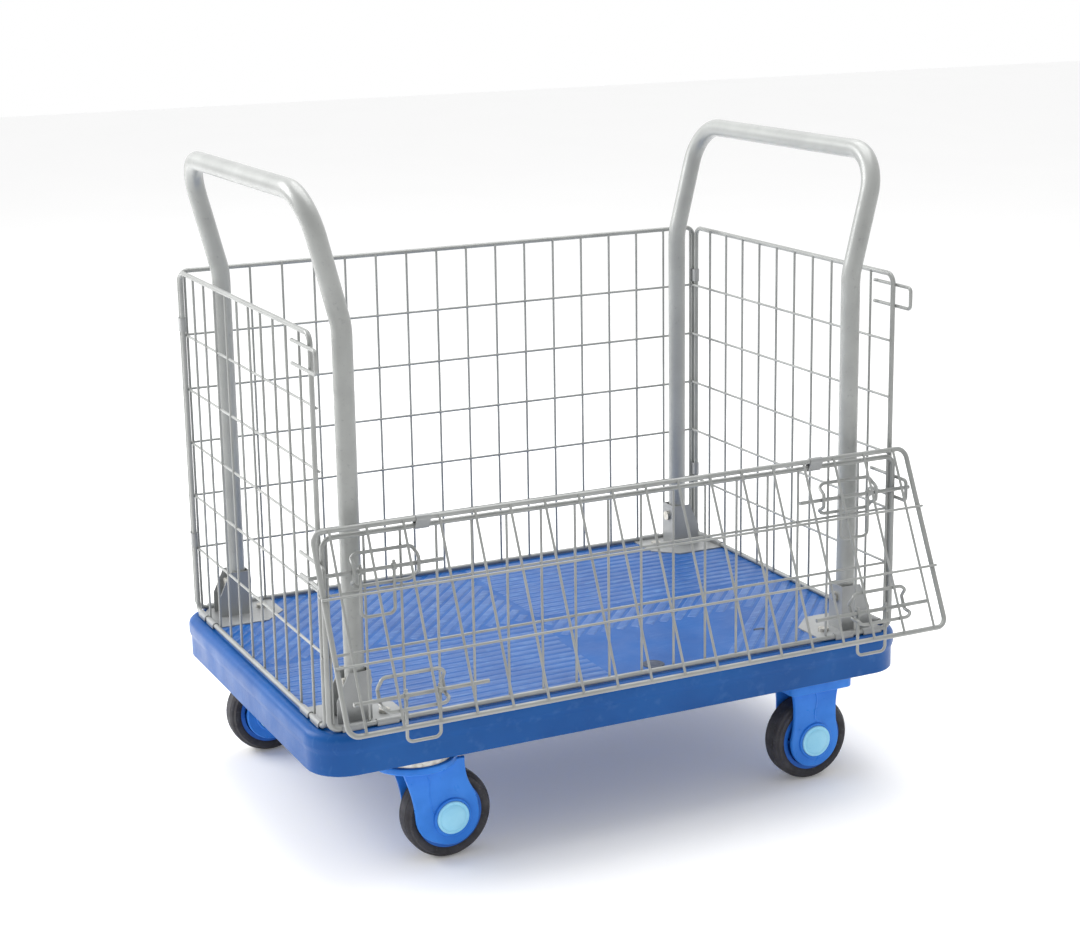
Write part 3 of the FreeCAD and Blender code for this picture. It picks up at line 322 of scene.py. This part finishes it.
MATERIALS = {
    "deck": deck_plastic("deck_plastic", 0.22, 0.2),
    "fork": fork_plastic("fork_nylon", srgb(40, 118, 212), srgb(54, 132, 226), 0.05),
    "wheel_core": fork_plastic("core_nylon", srgb(30, 96, 186), srgb(44, 110, 202), 0.05),
    "hub_cap": fork_plastic("cap_plastic", srgb(150, 214, 242), srgb(164, 224, 248), 0.1),
    "tyre": tyre_rubber(),
    "nylon": white_nylon(),
    "wire": grey_paint("wire_paint", srgb(142, 144, 142), srgb(154, 156, 154), 500),
    "tube": grey_paint("tube_paint", srgb(150, 152, 150), srgb(160, 162, 160), 160),
    "sheet": grey_paint("sheet_paint", srgb(140, 142, 143), srgb(152, 154, 154), 300),
    "steel_parts": zinc_fastener(),
}
# The tread is a lighter copy of the deck plastic. Its ribs get more pale patches, which are painted highlight
# for their whitish reflections on top of some rubbed wear.
TREAD = deck_plastic("deck_tread", 0.7, 0.45)
PLUG = dark_plug()


# Mesh helpers ---------------------------------------------------------------------------------------------


def arc(centre, radius, first, last, steps):
    """Points of an arc in a plane, from one angle to another in degrees."""
    points = []
    for step in range(steps + 1):
        angle = math.radians(first + (last - first) * step / steps)
        points.append((centre[0] + radius * math.cos(angle), centre[1] + radius * math.sin(angle)))
    return points


class Shape:
    """Vertices and faces gathered from several closed forms. Each form has a number for its material."""

    def __init__(self):
        self.points = []
        self.faces = []
        self.marks = []

    def face(self, corners, mark):
        self.faces.append(corners)
        self.marks.append(mark)

    def skin(self, rings, mark=0, endless=False):
        """Join rings of equally many points, and close both ends unless the last ring meets the first."""
        base = len(self.points)
        count = len(rings[0])
        for ring in rings:
            self.points.extend(ring)
        pairs = len(rings) if endless else len(rings) - 1
        for row in range(pairs):
            here = base + row * count
            there = base + (row + 1) % len(rings) * count
            for column in range(count):
                following = (column + 1) % count
                self.face((here + column, here + following, there + following, there + column), mark)
        if not endless:
            last = base + (len(rings) - 1) * count
            self.face(tuple(range(base + count - 1, base - 1, -1)), mark)
            self.face(tuple(range(last, last + count)), mark)

    def tube(self, path, radius, sides):
        """A round bar along a path of points; its ends are slightly domed."""
        side = (path[1] - path[0]).orthogonal().normalized()
        rings = []
        for index, point in enumerate(path):
            before = path[max(index - 1, 0)]
            after = path[min(index + 1, len(path) - 1)]
            along = (after - before).normalized()
            side = (side - along * side.dot(along)).normalized()
            other = along.cross(side)
            ring = [point + (side * math.cos(a) + other * math.sin(a)) * radius for a in turns(sides)]
            if index in (0, len(path) - 1):
                out = -along if index == 0 else along
                small = [point + out * radius * 0.35 + (p - point) * 0.55 for p in ring]
                rings.extend((small, ring) if index == 0 else (ring, small))
            else:
                rings.append(ring)
        self.skin(rings)

    def loop(self, path, radius, sides):
        """A closed round wire along a path of points."""
        middle = sum(path, Vector()) / len(path)
        rings = []
        for index, point in enumerate(path):
            along = (path[(index + 1) % len(path)] - path[index - 1]).normalized()
            side = point - middle
            side = (side - along * side.dot(along)).normalized()
            other = along.cross(side)
            rings.append([point + (side * math.cos(a) + other * math.sin(a)) * radius for a in turns(sides)])
        self.skin(rings, endless=True)

    def lathe(self, profile, centre, segments=64):
        """A closed outline of (radius, y) turned about the line along Y through a centre."""
        rings = []
        for angle in turns(segments):
            across = Vector((math.cos(angle), 0, math.sin(angle)))
            rings.append([centre + across * radius + Vector((0, y, 0)) for radius, y in profile])
        self.skin(rings, endless=True)

    def spindle(self, profile, centre, axis="Z", segments=64):
        """A solid turned about an axis, from the (radius, height) of each of its rings; its ends are flat."""
        rings = []
        for radius, height in profile:
            ring = []
            for angle in turns(segments):
                if axis == "Z":
                    spot = Vector((radius * math.cos(angle), radius * math.sin(angle), height))
                else:
                    spot = Vector((radius * math.cos(angle), height, radius * math.sin(angle)))
                ring.append(centre + spot)
            rings.append(ring)
        self.skin(rings)

    def plate(self, outline, centre, start, end, edge):
        """An (x, z) outline made thick along Y, with its far edge bevelled; end is the far side."""
        middle = Vector((sum(x for x, _ in outline), sum(z for _, z in outline))) / len(outline)
        inset = []
        for x, z in outline:
            toward = (middle - Vector((x, z))).normalized() * edge
            inset.append((x + toward.x, z + toward.y))
        soft = end - math.copysign(edge, end - start)
        rings = []
        for points, y in ((outline, start), (outline, soft), (inset, end)):
            rings.append([centre + Vector((x, y, z)) for x, z in points])
        self.skin(rings)

    def bar(self, start, end, width, height, mark=0):
        """A raised bar on a level surface, with sloping sides and ends."""
        along = (end - start).normalized()
        across = Vector((-along.y, along.x, 0))
        rings = []
        for scale, rise in ((0.5, -0.0005), (0.5, 0.0), (0.42, height * 0.7), (0.32, height)):
            tuck = along * width * (0.5 - scale)
            side = across * width * scale
            up = Vector((0, 0, rise))
            first, last = start + tuck + up, end - tuck + up
            rings.append([first - side, last - side, last + side, first + side])
        self.skin(rings, mark)


def turns(count):
    """Equal angles all the way round, in radians."""
    return [2 * math.pi * step / count for step in range(count)]


def make_piece(name, shape, body, nodes, materials):
    """An object from a shape: it rides on a body, and stands in for the CAD nodes named."""
    mesh = bpy.data.meshes.new(name)
    mesh.from_pydata(shape.points, [], shape.faces)
    for material in materials:
        mesh.materials.append(material)
    mesh.polygons.foreach_set("material_index", shape.marks)
    solid = bmesh.new()
    solid.from_mesh(mesh)
    bmesh.ops.recalc_face_normals(solid, faces=solid.faces)
    solid.to_mesh(mesh)
    solid.free()
    mesh.shade_smooth()
    mesh.set_sharp_from_angle(angle=SHARP_EDGE)
    piece = bpy.data.objects.new(name, mesh)
    bpy.context.scene.collection.objects.link(piece)
    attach(piece, body)
    if nodes:
        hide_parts(*nodes)
    return piece


# Deck -----------------------------------------------------------------------------------------------------


def deck_ring(inset, height):
    """The deck's outline in plan, drawn in by an inset."""
    radius = DECK_CORNER - inset
    wide, deep = DECK_HALF_X - inset - radius, DECK_HALF_Y - inset - radius
    ring = []
    for quarter, (x, y) in enumerate(((wide, deep), (-wide, deep), (-wide, -deep), (wide, -deep))):
        for px, py in arc((x, y), radius, 90 * quarter, 90 * quarter + 90, 10):
            ring.append(Vector((px, py + MIDDLE_Y, height)))
    return ring


def clip(point, along, low, high):
    """The stretch of a line inside a rectangle, as two distances along it, or None."""
    first, last = -10.0, 10.0
    for axis in (0, 1):
        if abs(along[axis]) < 1e-9:
            if not low[axis] <= point[axis] <= high[axis]:
                return None
            continue
        near = (low[axis] - point[axis]) / along[axis]
        far = (high[axis] - point[axis]) / along[axis]
        first = max(first, min(near, far))
        last = min(last, max(near, far))
    return (first, last) if last - first > TREAD_PITCH else None


def tread_lines(low, high, angle):
    """Lines at one pitch and one angle that fill a rectangle."""
    along = Vector((math.cos(angle), math.sin(angle)))
    across = Vector((-along.y, along.x))
    middle = (Vector(low) + Vector(high)) / 2
    reach = (Vector(high) - Vector(low)).length / 2
    count = int(reach / TREAD_PITCH)
    for step in range(-count, count + 1):
        point = middle + across * TREAD_PITCH * step
        stretch = clip(point, along, low, high)
        if stretch:
            yield point + along * stretch[0], point + along * stretch[1]


def make_tread(shape):
    """Anti-slip ribs on the load surface: two quarters run along the deck and two run at a slant."""
    gap = TREAD_GAP
    far_x, far_y = DECK_HALF_X - TREAD_MARGIN, DECK_HALF_Y - TREAD_MARGIN
    quarters = (
        ((-far_x, gap), (-gap, far_y), TREAD_SLOPE),
        ((-far_x, -far_y), (-gap, -gap), 0.0),
        ((gap, gap), (far_x, far_y), 0.0),
        ((gap, -far_y), (far_x, -gap), TREAD_SLOPE),
    )
    for low, high, angle in quarters:
        for start, end in tread_lines(low, high, angle):
            for first, last in outside_plain(start, end):
                a = Vector((first.x, first.y + MIDDLE_Y, DECK_TOP))
                b = Vector((last.x, last.y + MIDDLE_Y, DECK_TOP))
                shape.bar(a, b, TREAD_WIDTH, TREAD_HEIGHT, mark=1)


def outside_plain(start, end):
    """What is left of a rib outside the deck's rounded corners and the plain field by its front edge."""
    steps = max(int((end - start).length / RIB_STEP), 2)
    kept = []
    for step in range(steps + 1):
        point = start + (end - start) * step / steps
        slant = point.x - (point.y + DECK_HALF_Y) / math.tan(TREAD_SLOPE)
        plain = point.y < -0.100 and point.x > -0.010 and slant < 0.142
        away = Vector((abs(point.x) - DECK_HALF_X + DECK_CORNER, abs(point.y) - DECK_HALF_Y + DECK_CORNER))
        corner = away.x > 0 and away.y > 0 and away.length > DECK_CORNER - TREAD_MARGIN
        if plain or corner:
            if len(kept) >= RIB_LEAST:
                yield kept[0], kept[-1]
            kept = []
        else:
            kept.append(point)
    if len(kept) >= RIB_LEAST:
        yield kept[0], kept[-1]


def make_deck():
    shape = Shape()
    inner = RIM_STEP + DECK_WALL
    ceiling = DECK_TOP - DECK_WALL
    rings = [
        deck_ring(inner, ceiling),
        deck_ring(inner, DECK_BOTTOM + 0.001),
        deck_ring(inner - 0.001, DECK_BOTTOM),
        deck_ring(RIM_STEP + 0.001, DECK_BOTTOM),
        deck_ring(RIM_STEP, DECK_BOTTOM + 0.001),
        deck_ring(RIM_STEP, DECK_STEP - 0.0060),
        deck_ring(RIM_STEP * 0.8, DECK_STEP - 0.0035),
        deck_ring(RIM_STEP * 0.2, DECK_STEP + 0.0015),
        deck_ring(0.0, DECK_STEP + 0.0040),
    ]
    for out, up in arc((0.0, 0.0), RIM_ROLL, 0, 90, 8):
        rings.append(deck_ring(RIM_ROLL - out, DECK_TOP - RIM_ROLL + up))
    rings.append(deck_ring(RIM_ROLL + 0.0035, DECK_TOP - 0.0003))
    rings.append(deck_ring(RIM_ROLL + 0.0055, DECK_TOP - 0.0012))
    rings.append(deck_ring(RIM_ROLL + 0.0085, DECK_TOP - 0.0012))
    rings.append(deck_ring(RIM_ROLL + 0.0100, DECK_TOP))
    shape.skin(rings)
    make_tread(shape)
    for x in (-RIB_CROSS, 0.0, RIB_CROSS):
        add_rib(shape, x, DECK_HALF_Y, ceiling, along_x=False)
    add_rib(shape, 0.0, DECK_HALF_X, ceiling, along_x=True)
    for x, y in BOSS_CENTRES:
        centre = Vector((x, y + MIDDLE_Y, 0))
        rise = ceiling + 0.0005
        foot = DECK_BOTTOM + 0.001
        profile = ((BOSS_RADIUS - 0.001, DECK_BOTTOM), (BOSS_RADIUS, foot), (BOSS_RADIUS, rise))
        shape.spindle(profile, centre)
    make_piece("deck_shell", shape, "cart", ["deck"], [MATERIALS["deck"], TREAD])
    make_plug()


def add_rib(shape, middle, half, ceiling, along_x):
    """A stiffening rib under the deck, a little narrower at its foot."""
    reach = half - RIM_STEP - DECK_WALL / 2
    rings = []
    for height, wall in ((ceiling + 0.0005, RIB_WALL), (ceiling - RIB_DEPTH, RIB_WALL * 0.7)):
        corners = ((-reach, -wall / 2), (reach, -wall / 2), (reach, wall / 2), (-reach, wall / 2))
        ring = []
        for along, across in corners:
            x, y = (along, middle + across) if along_x else (middle + across, along)
            ring.append(Vector((x, y + MIDDLE_Y, height)))
        rings.append(ring)
    shape.skin(rings)


def make_plug():
    """A round plug and a small oval slot in the plain field of the deck."""
    shape = Shape()
    centre = Vector((PLUG_PLACE[0], MIDDLE_Y + PLUG_PLACE[1], DECK_TOP))
    shape.spindle(((0.016, -0.001), (0.016, 0.0004), (0.0148, 0.0012), (0.0120, 0.0012)), centre)
    shape.spindle(((0.0112, -0.001), (0.0112, 0.0006), (0.0095, 0.0014), (0.0040, 0.0016)), centre)
    slot = Vector((SLOT_PLACE[0], MIDDLE_Y + SLOT_PLACE[1], DECK_TOP))
    rings = []
    for radius, height in ((0.0040, -0.001), (0.0040, 0.0010), (0.0030, 0.0014)):
        ends = arc((0.0045, 0), radius, -90, 90, 8) + arc((-0.0045, 0), radius, 90, 270, 8)
        rings.append([slot + Vector((x, y, height)) for x, y in ends])
    shape.skin(rings)
    make_piece("deck_plug", shape, "cart", [], [PLUG])


# Latch guides ---------------------------------------------------------------------------------------------


def panel_spot(level, x, along, out):
    """A point of a panel: along is its height on the lower panel, or its distance down the hanging gate."""
    if level == "front":
        low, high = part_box("front_bolt_left")
        return Vector((x, (low.y + high.y) / 2 + BOLT_OFFSET - out, (low.z + high.z) / 2 + along))
    low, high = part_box("gate_bolt_left")
    down = Vector((0, -math.sin(GATE_LEAN), -math.cos(GATE_LEAN)))
    outward = Vector((0, math.cos(GATE_LEAN), -math.sin(GATE_LEAN)))
    bolt = Vector((0, (low.y + high.y) / 2, (low.z + high.z) / 2))
    return bolt + Vector((x, 0, 0)) + down * (along - GUIDE_SHIFT) + outward * (out - BOLT_OFFSET)


def guide_outline():
    """A rounded rectangle as (across, along) points, finely divided so that its legs can bow."""
    outline = []
    wide, deep = GUIDE_HALF - GUIDE_CORNER, GUIDE_RISE - GUIDE_CORNER
    for quarter, (x, y) in enumerate(((wide, deep), (-wide, deep), (-wide, -deep), (wide, -deep))):
        outline += arc((x, y), GUIDE_CORNER, 90 * quarter, 90 * quarter + 90, 8)
        if quarter in (1, 3):
            side = math.copysign(GUIDE_HALF, x)
            ends = (deep, -deep) if quarter == 1 else (-deep, deep)
            for step in range(1, 8):
                outline.append((side, ends[0] + (ends[1] - ends[0]) * step / 8))
    return outline


def guide_bow(across, along):
    """How far a guide stands out of the mesh: its two legs bow over the bolt, and its rails lie flat."""
    if abs(across) <= GUIDE_HALF * 0.85:
        return GUIDE_FLAT
    near = max(0.0, 1 - abs(along) / (GUIDE_RISE * 0.8))
    bow = 0.5 - 0.5 * math.cos(math.pi * min(1.0, near * 1.9))
    return GUIDE_FLAT + (GUIDE_OVER - GUIDE_FLAT) * bow


def make_guides():
    """Closed wire loops welded to the mesh, whose legs bow out over the latch bolts."""
    for level, body in (("front", "cart"), ("gate", "gate")):
        low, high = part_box(f"{level}_latch_guides")
        middle = high.x - GUIDE_HALF - GUIDE_WIRE
        shape = Shape()
        for side in (-1, 1):
            path = []
            for across, along in guide_outline():
                out = guide_bow(across, along)
                path.append(panel_spot(level, side * middle + across, along, out))
            shape.loop(path, GUIDE_WIRE, 10)
        nodes = [f"{level}_latch_guides"]
        make_piece(f"{level}_guide_loops", shape, body, nodes, [MATERIALS["wire"]])


# Castors --------------------------------------------------------------------------------------------------


def make_tyre(name, body, hub):
    """A crowned tyre with a moulding seam either side of its tread."""
    half = [
        (CORE_RADIUS, 0.0160),
        (CORE_RADIUS + 0.0020, 0.0175),
        (CORE_RADIUS + 0.0055, TYRE_HALF),
        (WHEEL_RADIUS - TYRE_SHOULDER, TYRE_HALF),
    ]
    shoulder = (WHEEL_RADIUS - TYRE_SHOULDER, TYRE_HALF - 0.0085)
    half += arc(shoulder, 0.0055, 68, 24, 5)
    half += [
        (WHEEL_RADIUS - 0.0004, 0.0098),
        (WHEEL_RADIUS - 0.0010, 0.0094),
        (WHEEL_RADIUS - 0.0010, 0.0088),
        (WHEEL_RADIUS - 0.0003, 0.0084),
        (WHEEL_RADIUS, 0.0040),
    ]
    profile = half + [(radius, -y) for radius, y in reversed(half)]
    shape = Shape()
    shape.lathe(profile, hub, segments=96)
    make_piece(f"tyre_mesh_{name}", shape, body, [f"tyre_{name}"], [MATERIALS["tyre"]])


def make_core(name, body, hub):
    """A wheel core: a rim, a thin web with ten spokes on each side, and a hub."""
    half = [
        (0.0080, 0.0205),
        (0.0160, 0.0205),
        (0.0170, 0.0195),
        (0.0180, 0.0060),
        (0.0395, 0.0060),
        (0.0402, 0.0150),
        (0.0410, 0.0160),
        (CORE_RADIUS, 0.0160),
    ]
    profile = half + [(radius, -y) for radius, y in reversed(half)]
    shape = Shape()
    shape.lathe(profile, hub)
    for turn in turns(10):
        spoke = Matrix.Rotation(turn, 3, "Y")
        rings = []
        for out in (0.0165, 0.0405):
            corners = ((-0.0012, -0.0140), (0.0012, -0.0140), (0.0012, 0.0140), (-0.0012, 0.0140))
            rings.append([hub + spoke @ Vector((out, y, x)) for x, y in corners])
        shape.skin(rings)
    slot = "wheel_core"
    make_piece(f"core_mesh_{name}", shape, body, [f"wheel_core_{name}"], [MATERIALS[slot]])


def add_caps(shape, hub):
    """Domed caps over both ends of an axle."""
    foot = FORK_GAP + FORK_WALL + COLLAR_HEIGHT
    rise = CAP_HEIGHT - COLLAR_HEIGHT
    for side in (-1, 1):
        profile = (
            (CAP_RADIUS, foot - 0.0010),
            (CAP_RADIUS, foot + 0.0004),
            (CAP_RADIUS - 0.0010, foot + 0.0014),
            (CAP_RADIUS - 0.0035, foot + 0.0016),
            (CAP_RADIUS - 0.0045, foot + 0.0010),
            (CAP_RADIUS - 0.0055, foot + 0.0017),
            (0.0140, foot + 0.0028),
            (0.0090, foot + 0.0036),
            (0.0040, foot + rise),
        )
        shape.spindle([(radius, side * y) for radius, y in profile], hub, axis="Y")


def add_collar(shape, hub, side):
    """The raised ring round a cap."""
    low = FORK_GAP + FORK_WALL
    profile = (
        (CAP_RADIUS + 0.0003, low - 0.001),
        (COLLAR_RADIUS, low - 0.001),
        (COLLAR_RADIUS, low + COLLAR_HEIGHT - 0.0010),
        (COLLAR_RADIUS - 0.0010, low + COLLAR_HEIGHT),
        (CAP_RADIUS + 0.0010, low + COLLAR_HEIGHT),
        (CAP_RADIUS + 0.0003, low + COLLAR_HEIGHT - 0.0006),
    )
    shape.lathe([(radius, side * y) for radius, y in profile], hub)


def add_line(shape, hub, side, points, radius=0.0011):
    """A raised line on the outside of a leg, through (x, z) points."""
    y = side * (FORK_GAP + FORK_WALL - 0.0002)
    shape.tube([hub + Vector((x, y, z)) for x, z in points], radius, 8)


def curve(first, pull_first, pull_last, last, steps=18):
    """Points of a Bezier curve in a plane."""
    points = []
    for step in range(steps + 1):
        t = step / steps
        weights = ((1 - t) ** 3, 3 * t * (1 - t) ** 2, 3 * t * t * (1 - t), t ** 3)
        ends = (first, pull_first, pull_last, last)
        points.append(tuple(sum(w * p[axis] for w, p in zip(weights, ends)) for axis in (0, 1)))
    return points


def make_fixed_fork(name, hub):
    """A fixed castor's fork: a head plate and two legs with round ends."""
    head = CROWN_BOTTOM - hub.z
    shape = Shape()
    plate = []
    for inset, height in ((0.001, head), (0, head + 0.001), (0, DECK_BOTTOM - hub.z)):
        ring = []
        for quarter, (x, y) in enumerate(((1, 1), (-1, 1), (-1, -1), (1, -1))):
            centre = (x * (HEAD_HALF_X - inset - HEAD_CORNER), y * (HEAD_HALF_Y - inset - HEAD_CORNER))
            for px, py in arc(centre, HEAD_CORNER, 90 * quarter, 90 * quarter + 90, 5):
                ring.append(hub + Vector((px, py, height)))
        plate.append(ring)
    shape.skin(plate)
    right = curve((0.041, head + 0.002), (0.034, head - 0.012), (0.034, 0.034), (0.0386, 0.0105))
    disc = arc((0, 0), FORK_DISC, 15, -195, 40)
    left = [(-x, z) for x, z in reversed(right)]
    for side in (-1, 1):
        shape.plate(right + disc[1:-1] + left, hub, side * FORK_GAP, side * (FORK_GAP + FORK_WALL), FORK_EDGE)
        add_collar(shape, hub, side)
        swing = side * 0.004
        step = curve((swing, head - 0.001), (0.010, 0.060), (-0.008, 0.045), (0.001, 0.029))
        add_line(shape, hub, side, step)
    nodes = [f"fork_{name}"]
    make_piece(f"fork_mesh_{name}", shape, "cart", nodes, [MATERIALS["fork"]])


def make_swivel_fork(name, body, hub, swing):
    """A swivel castor's fork: a round crown, and two legs that sweep from it to the axle."""
    head = CROWN_BOTTOM - hub.z
    centre = hub + Vector((-swing * TRAIL, 0, 0))
    shape = Shape()
    top = CROWN_TOP - hub.z
    crown = (
        (CROWN_RADIUS - 0.0060, head),
        (CROWN_RADIUS - 0.0012, head + 0.0004),
        (CROWN_RADIUS, head + 0.0020),
        (CROWN_RADIUS, top - 0.0030),
        (CROWN_RADIUS - 0.0010, top - 0.0008),
        (CROWN_RADIUS - 0.0030, top),
    )
    shape.spindle(crown, centre, segments=96)
    front = curve((0.020, head + 0.002), (0.020, 0.036), (0.037, 0.040), (0.0386, 0.0105))
    disc = arc((0, 0), FORK_DISC, 15, -112, 26)
    heel = curve(disc[-1], (-0.034, -0.030), (-0.050, -0.022), (-0.0520, 0.0060), 10)
    back = curve((-0.0520, 0.0060), (-0.0540, 0.034), (-0.060, 0.050), (-0.072, head + 0.002))
    outline = [(swing * x, z) for x, z in front + disc[1:-1] + heel[:-1] + back]
    for side in (-1, 1):
        shape.plate(outline, hub, side * FORK_GAP, side * (FORK_GAP + FORK_WALL), FORK_EDGE)
        add_collar(shape, hub, side)
        sweep = curve((-0.058, head - 0.001), (-0.016, 0.076), (-0.040, 0.040), (-0.0265, 0.008))
        add_line(shape, hub, side, [(swing * x, z) for x, z in sweep])
    nodes = [f"fork_{name}"]
    make_piece(f"fork_mesh_{name}", shape, body, nodes, [MATERIALS["fork"]])


def make_castors():
    fixed_caps = Shape()
    for name, fork_body, wheel_body in CASTORS:
        low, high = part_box(f"tyre_{name}")
        hub = (low + high) / 2
        make_tyre(name, wheel_body, hub)
        make_core(name, wheel_body, hub)
        if fork_body == "cart":
            make_fixed_fork(name, hub)
            add_caps(fixed_caps, hub)
        else:
            crown_low, crown_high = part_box(f"swivel_race_{name}")
            swing = math.copysign(1, hub.x - (crown_low.x + crown_high.x) / 2)
            make_swivel_fork(name, fork_body, hub, swing)
            caps = Shape()
            add_caps(caps, hub)
            nodes = [f"hub_caps_{name}"]
            make_piece(f"caps_{name}", caps, fork_body, nodes, [MATERIALS["hub_cap"]])
    make_piece("caps_fixed", fixed_caps, "cart", ["hub_caps_fixed"], [MATERIALS["hub_cap"]])


# Stage ----------------------------------------------------------------------------------------------------


def make_stage():
    """A wide pale floor, and a white world that lights the back of the cart more than its front."""
    floor = bpy.data.meshes.new("floor")
    corners = [(x * FLOOR_REACH, y * FLOOR_REACH, 0) for x, y in ((-1, -1), (1, -1), (1, 1), (-1, 1))]
    floor.from_pydata(corners, [], [(0, 1, 2, 3)])
    floor.materials.append(studio_floor())
    ground = bpy.data.objects.new("floor", floor)
    bpy.context.scene.collection.objects.link(ground)
    ground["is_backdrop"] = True
    world = bpy.data.worlds.new("studio")
    world.use_nodes = True
    tree = world.node_tree
    background = tree.nodes["Background"]
    background.inputs["Color"].default_value = (1.0, 1.0, 1.0, 1.0)
    split = tree.nodes.new("ShaderNodeSeparateXYZ")
    tree.links.new(tree.nodes.new("ShaderNodeTexCoord").outputs["Generated"], split.inputs["Vector"])
    dimmer = tree.nodes.new("ShaderNodeMapRange")
    for name, value in (("From Min", -0.9), ("From Max", 0.2), ("To Min", FRONT_LIGHT), ("To Max", 1.0)):
        dimmer.inputs[name].default_value = value
    tree.links.new(split.outputs["Y"], dimmer.inputs["Value"])
    seen = tree.nodes.new("ShaderNodeMath")
    seen.operation = "MAXIMUM"
    tree.links.new(dimmer.outputs["Result"], seen.inputs[0])
    tree.links.new(tree.nodes.new("ShaderNodeLightPath").outputs["Is Camera Ray"], seen.inputs[1])
    tree.links.new(seen.outputs["Value"], background.inputs["Strength"])
    bpy.context.scene.world = world


def area_light(name, place, target, size, power):
    lamp = bpy.data.lights.new(name, "AREA")
    lamp.shape = "RECTANGLE"
    lamp.size, lamp.size_y = size
    lamp.energy = power
    light = bpy.data.objects.new(name, lamp)
    light.location = place
    light.rotation_euler = (Vector(target) - Vector(place)).to_track_quat("-Z", "Y").to_euler()
    bpy.context.scene.collection.objects.link(light)


def make_lights():
    area_light("key", (-2.6, 2.2, 2.2), (-0.9, 0.9, 0.0), (2.4, 2.0), 110)
    area_light("top", (0.5, 0.5, 3.2), (0, 0, 0.2), (2.6, 2.6), 70)


def make_camera():
    """The camera stands to the left in front of the cart and looks down at it."""
    yaw, pitch, roll = CAMERA_TURN
    ahead = Vector((math.sin(yaw) * math.cos(pitch), math.cos(yaw) * math.cos(pitch), math.sin(pitch)))
    level = Vector((math.cos(yaw), -math.sin(yaw), 0))
    above = level.cross(ahead)
    right = level * math.cos(roll) + above * math.sin(roll)
    up = above * math.cos(roll) - level * math.sin(roll)
    data = bpy.data.cameras.new("camera")
    data.sensor_fit = "HORIZONTAL"
    data.sensor_width = 36.0
    data.lens = CAMERA_LENS
    data.shift_x = -0.0039
    data.shift_y = -0.05
    camera = bpy.data.objects.new("camera", data)
    turn = Matrix((right, up, -ahead)).transposed().to_4x4()
    camera.matrix_world = Matrix.Translation(CAMERA_PLACE) @ turn
    bpy.context.scene.collection.objects.link(camera)
    bpy.context.scene.camera = camera


# Assembly -------------------------------------------------------------------------------------------------


def finish_cad_nodes():
    """Give each CAD node the material of its slot."""
    for row in frame["record"]["subparts"]:
        mesh = frame["nodes"][row["node"]].data
        mesh.materials.clear()
        mesh.materials.append(MATERIALS[row["material_slot"]])


finish_cad_nodes()
make_deck()
make_guides()
make_castors()
make_stage()
make_lights()
make_camera()
bpy.context.scene.view_settings.view_transform = "Standard"

both = {"cad": cad_bounds, "visual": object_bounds()}
{name: [list(corner) for corner in box] for name, box in both.items()}
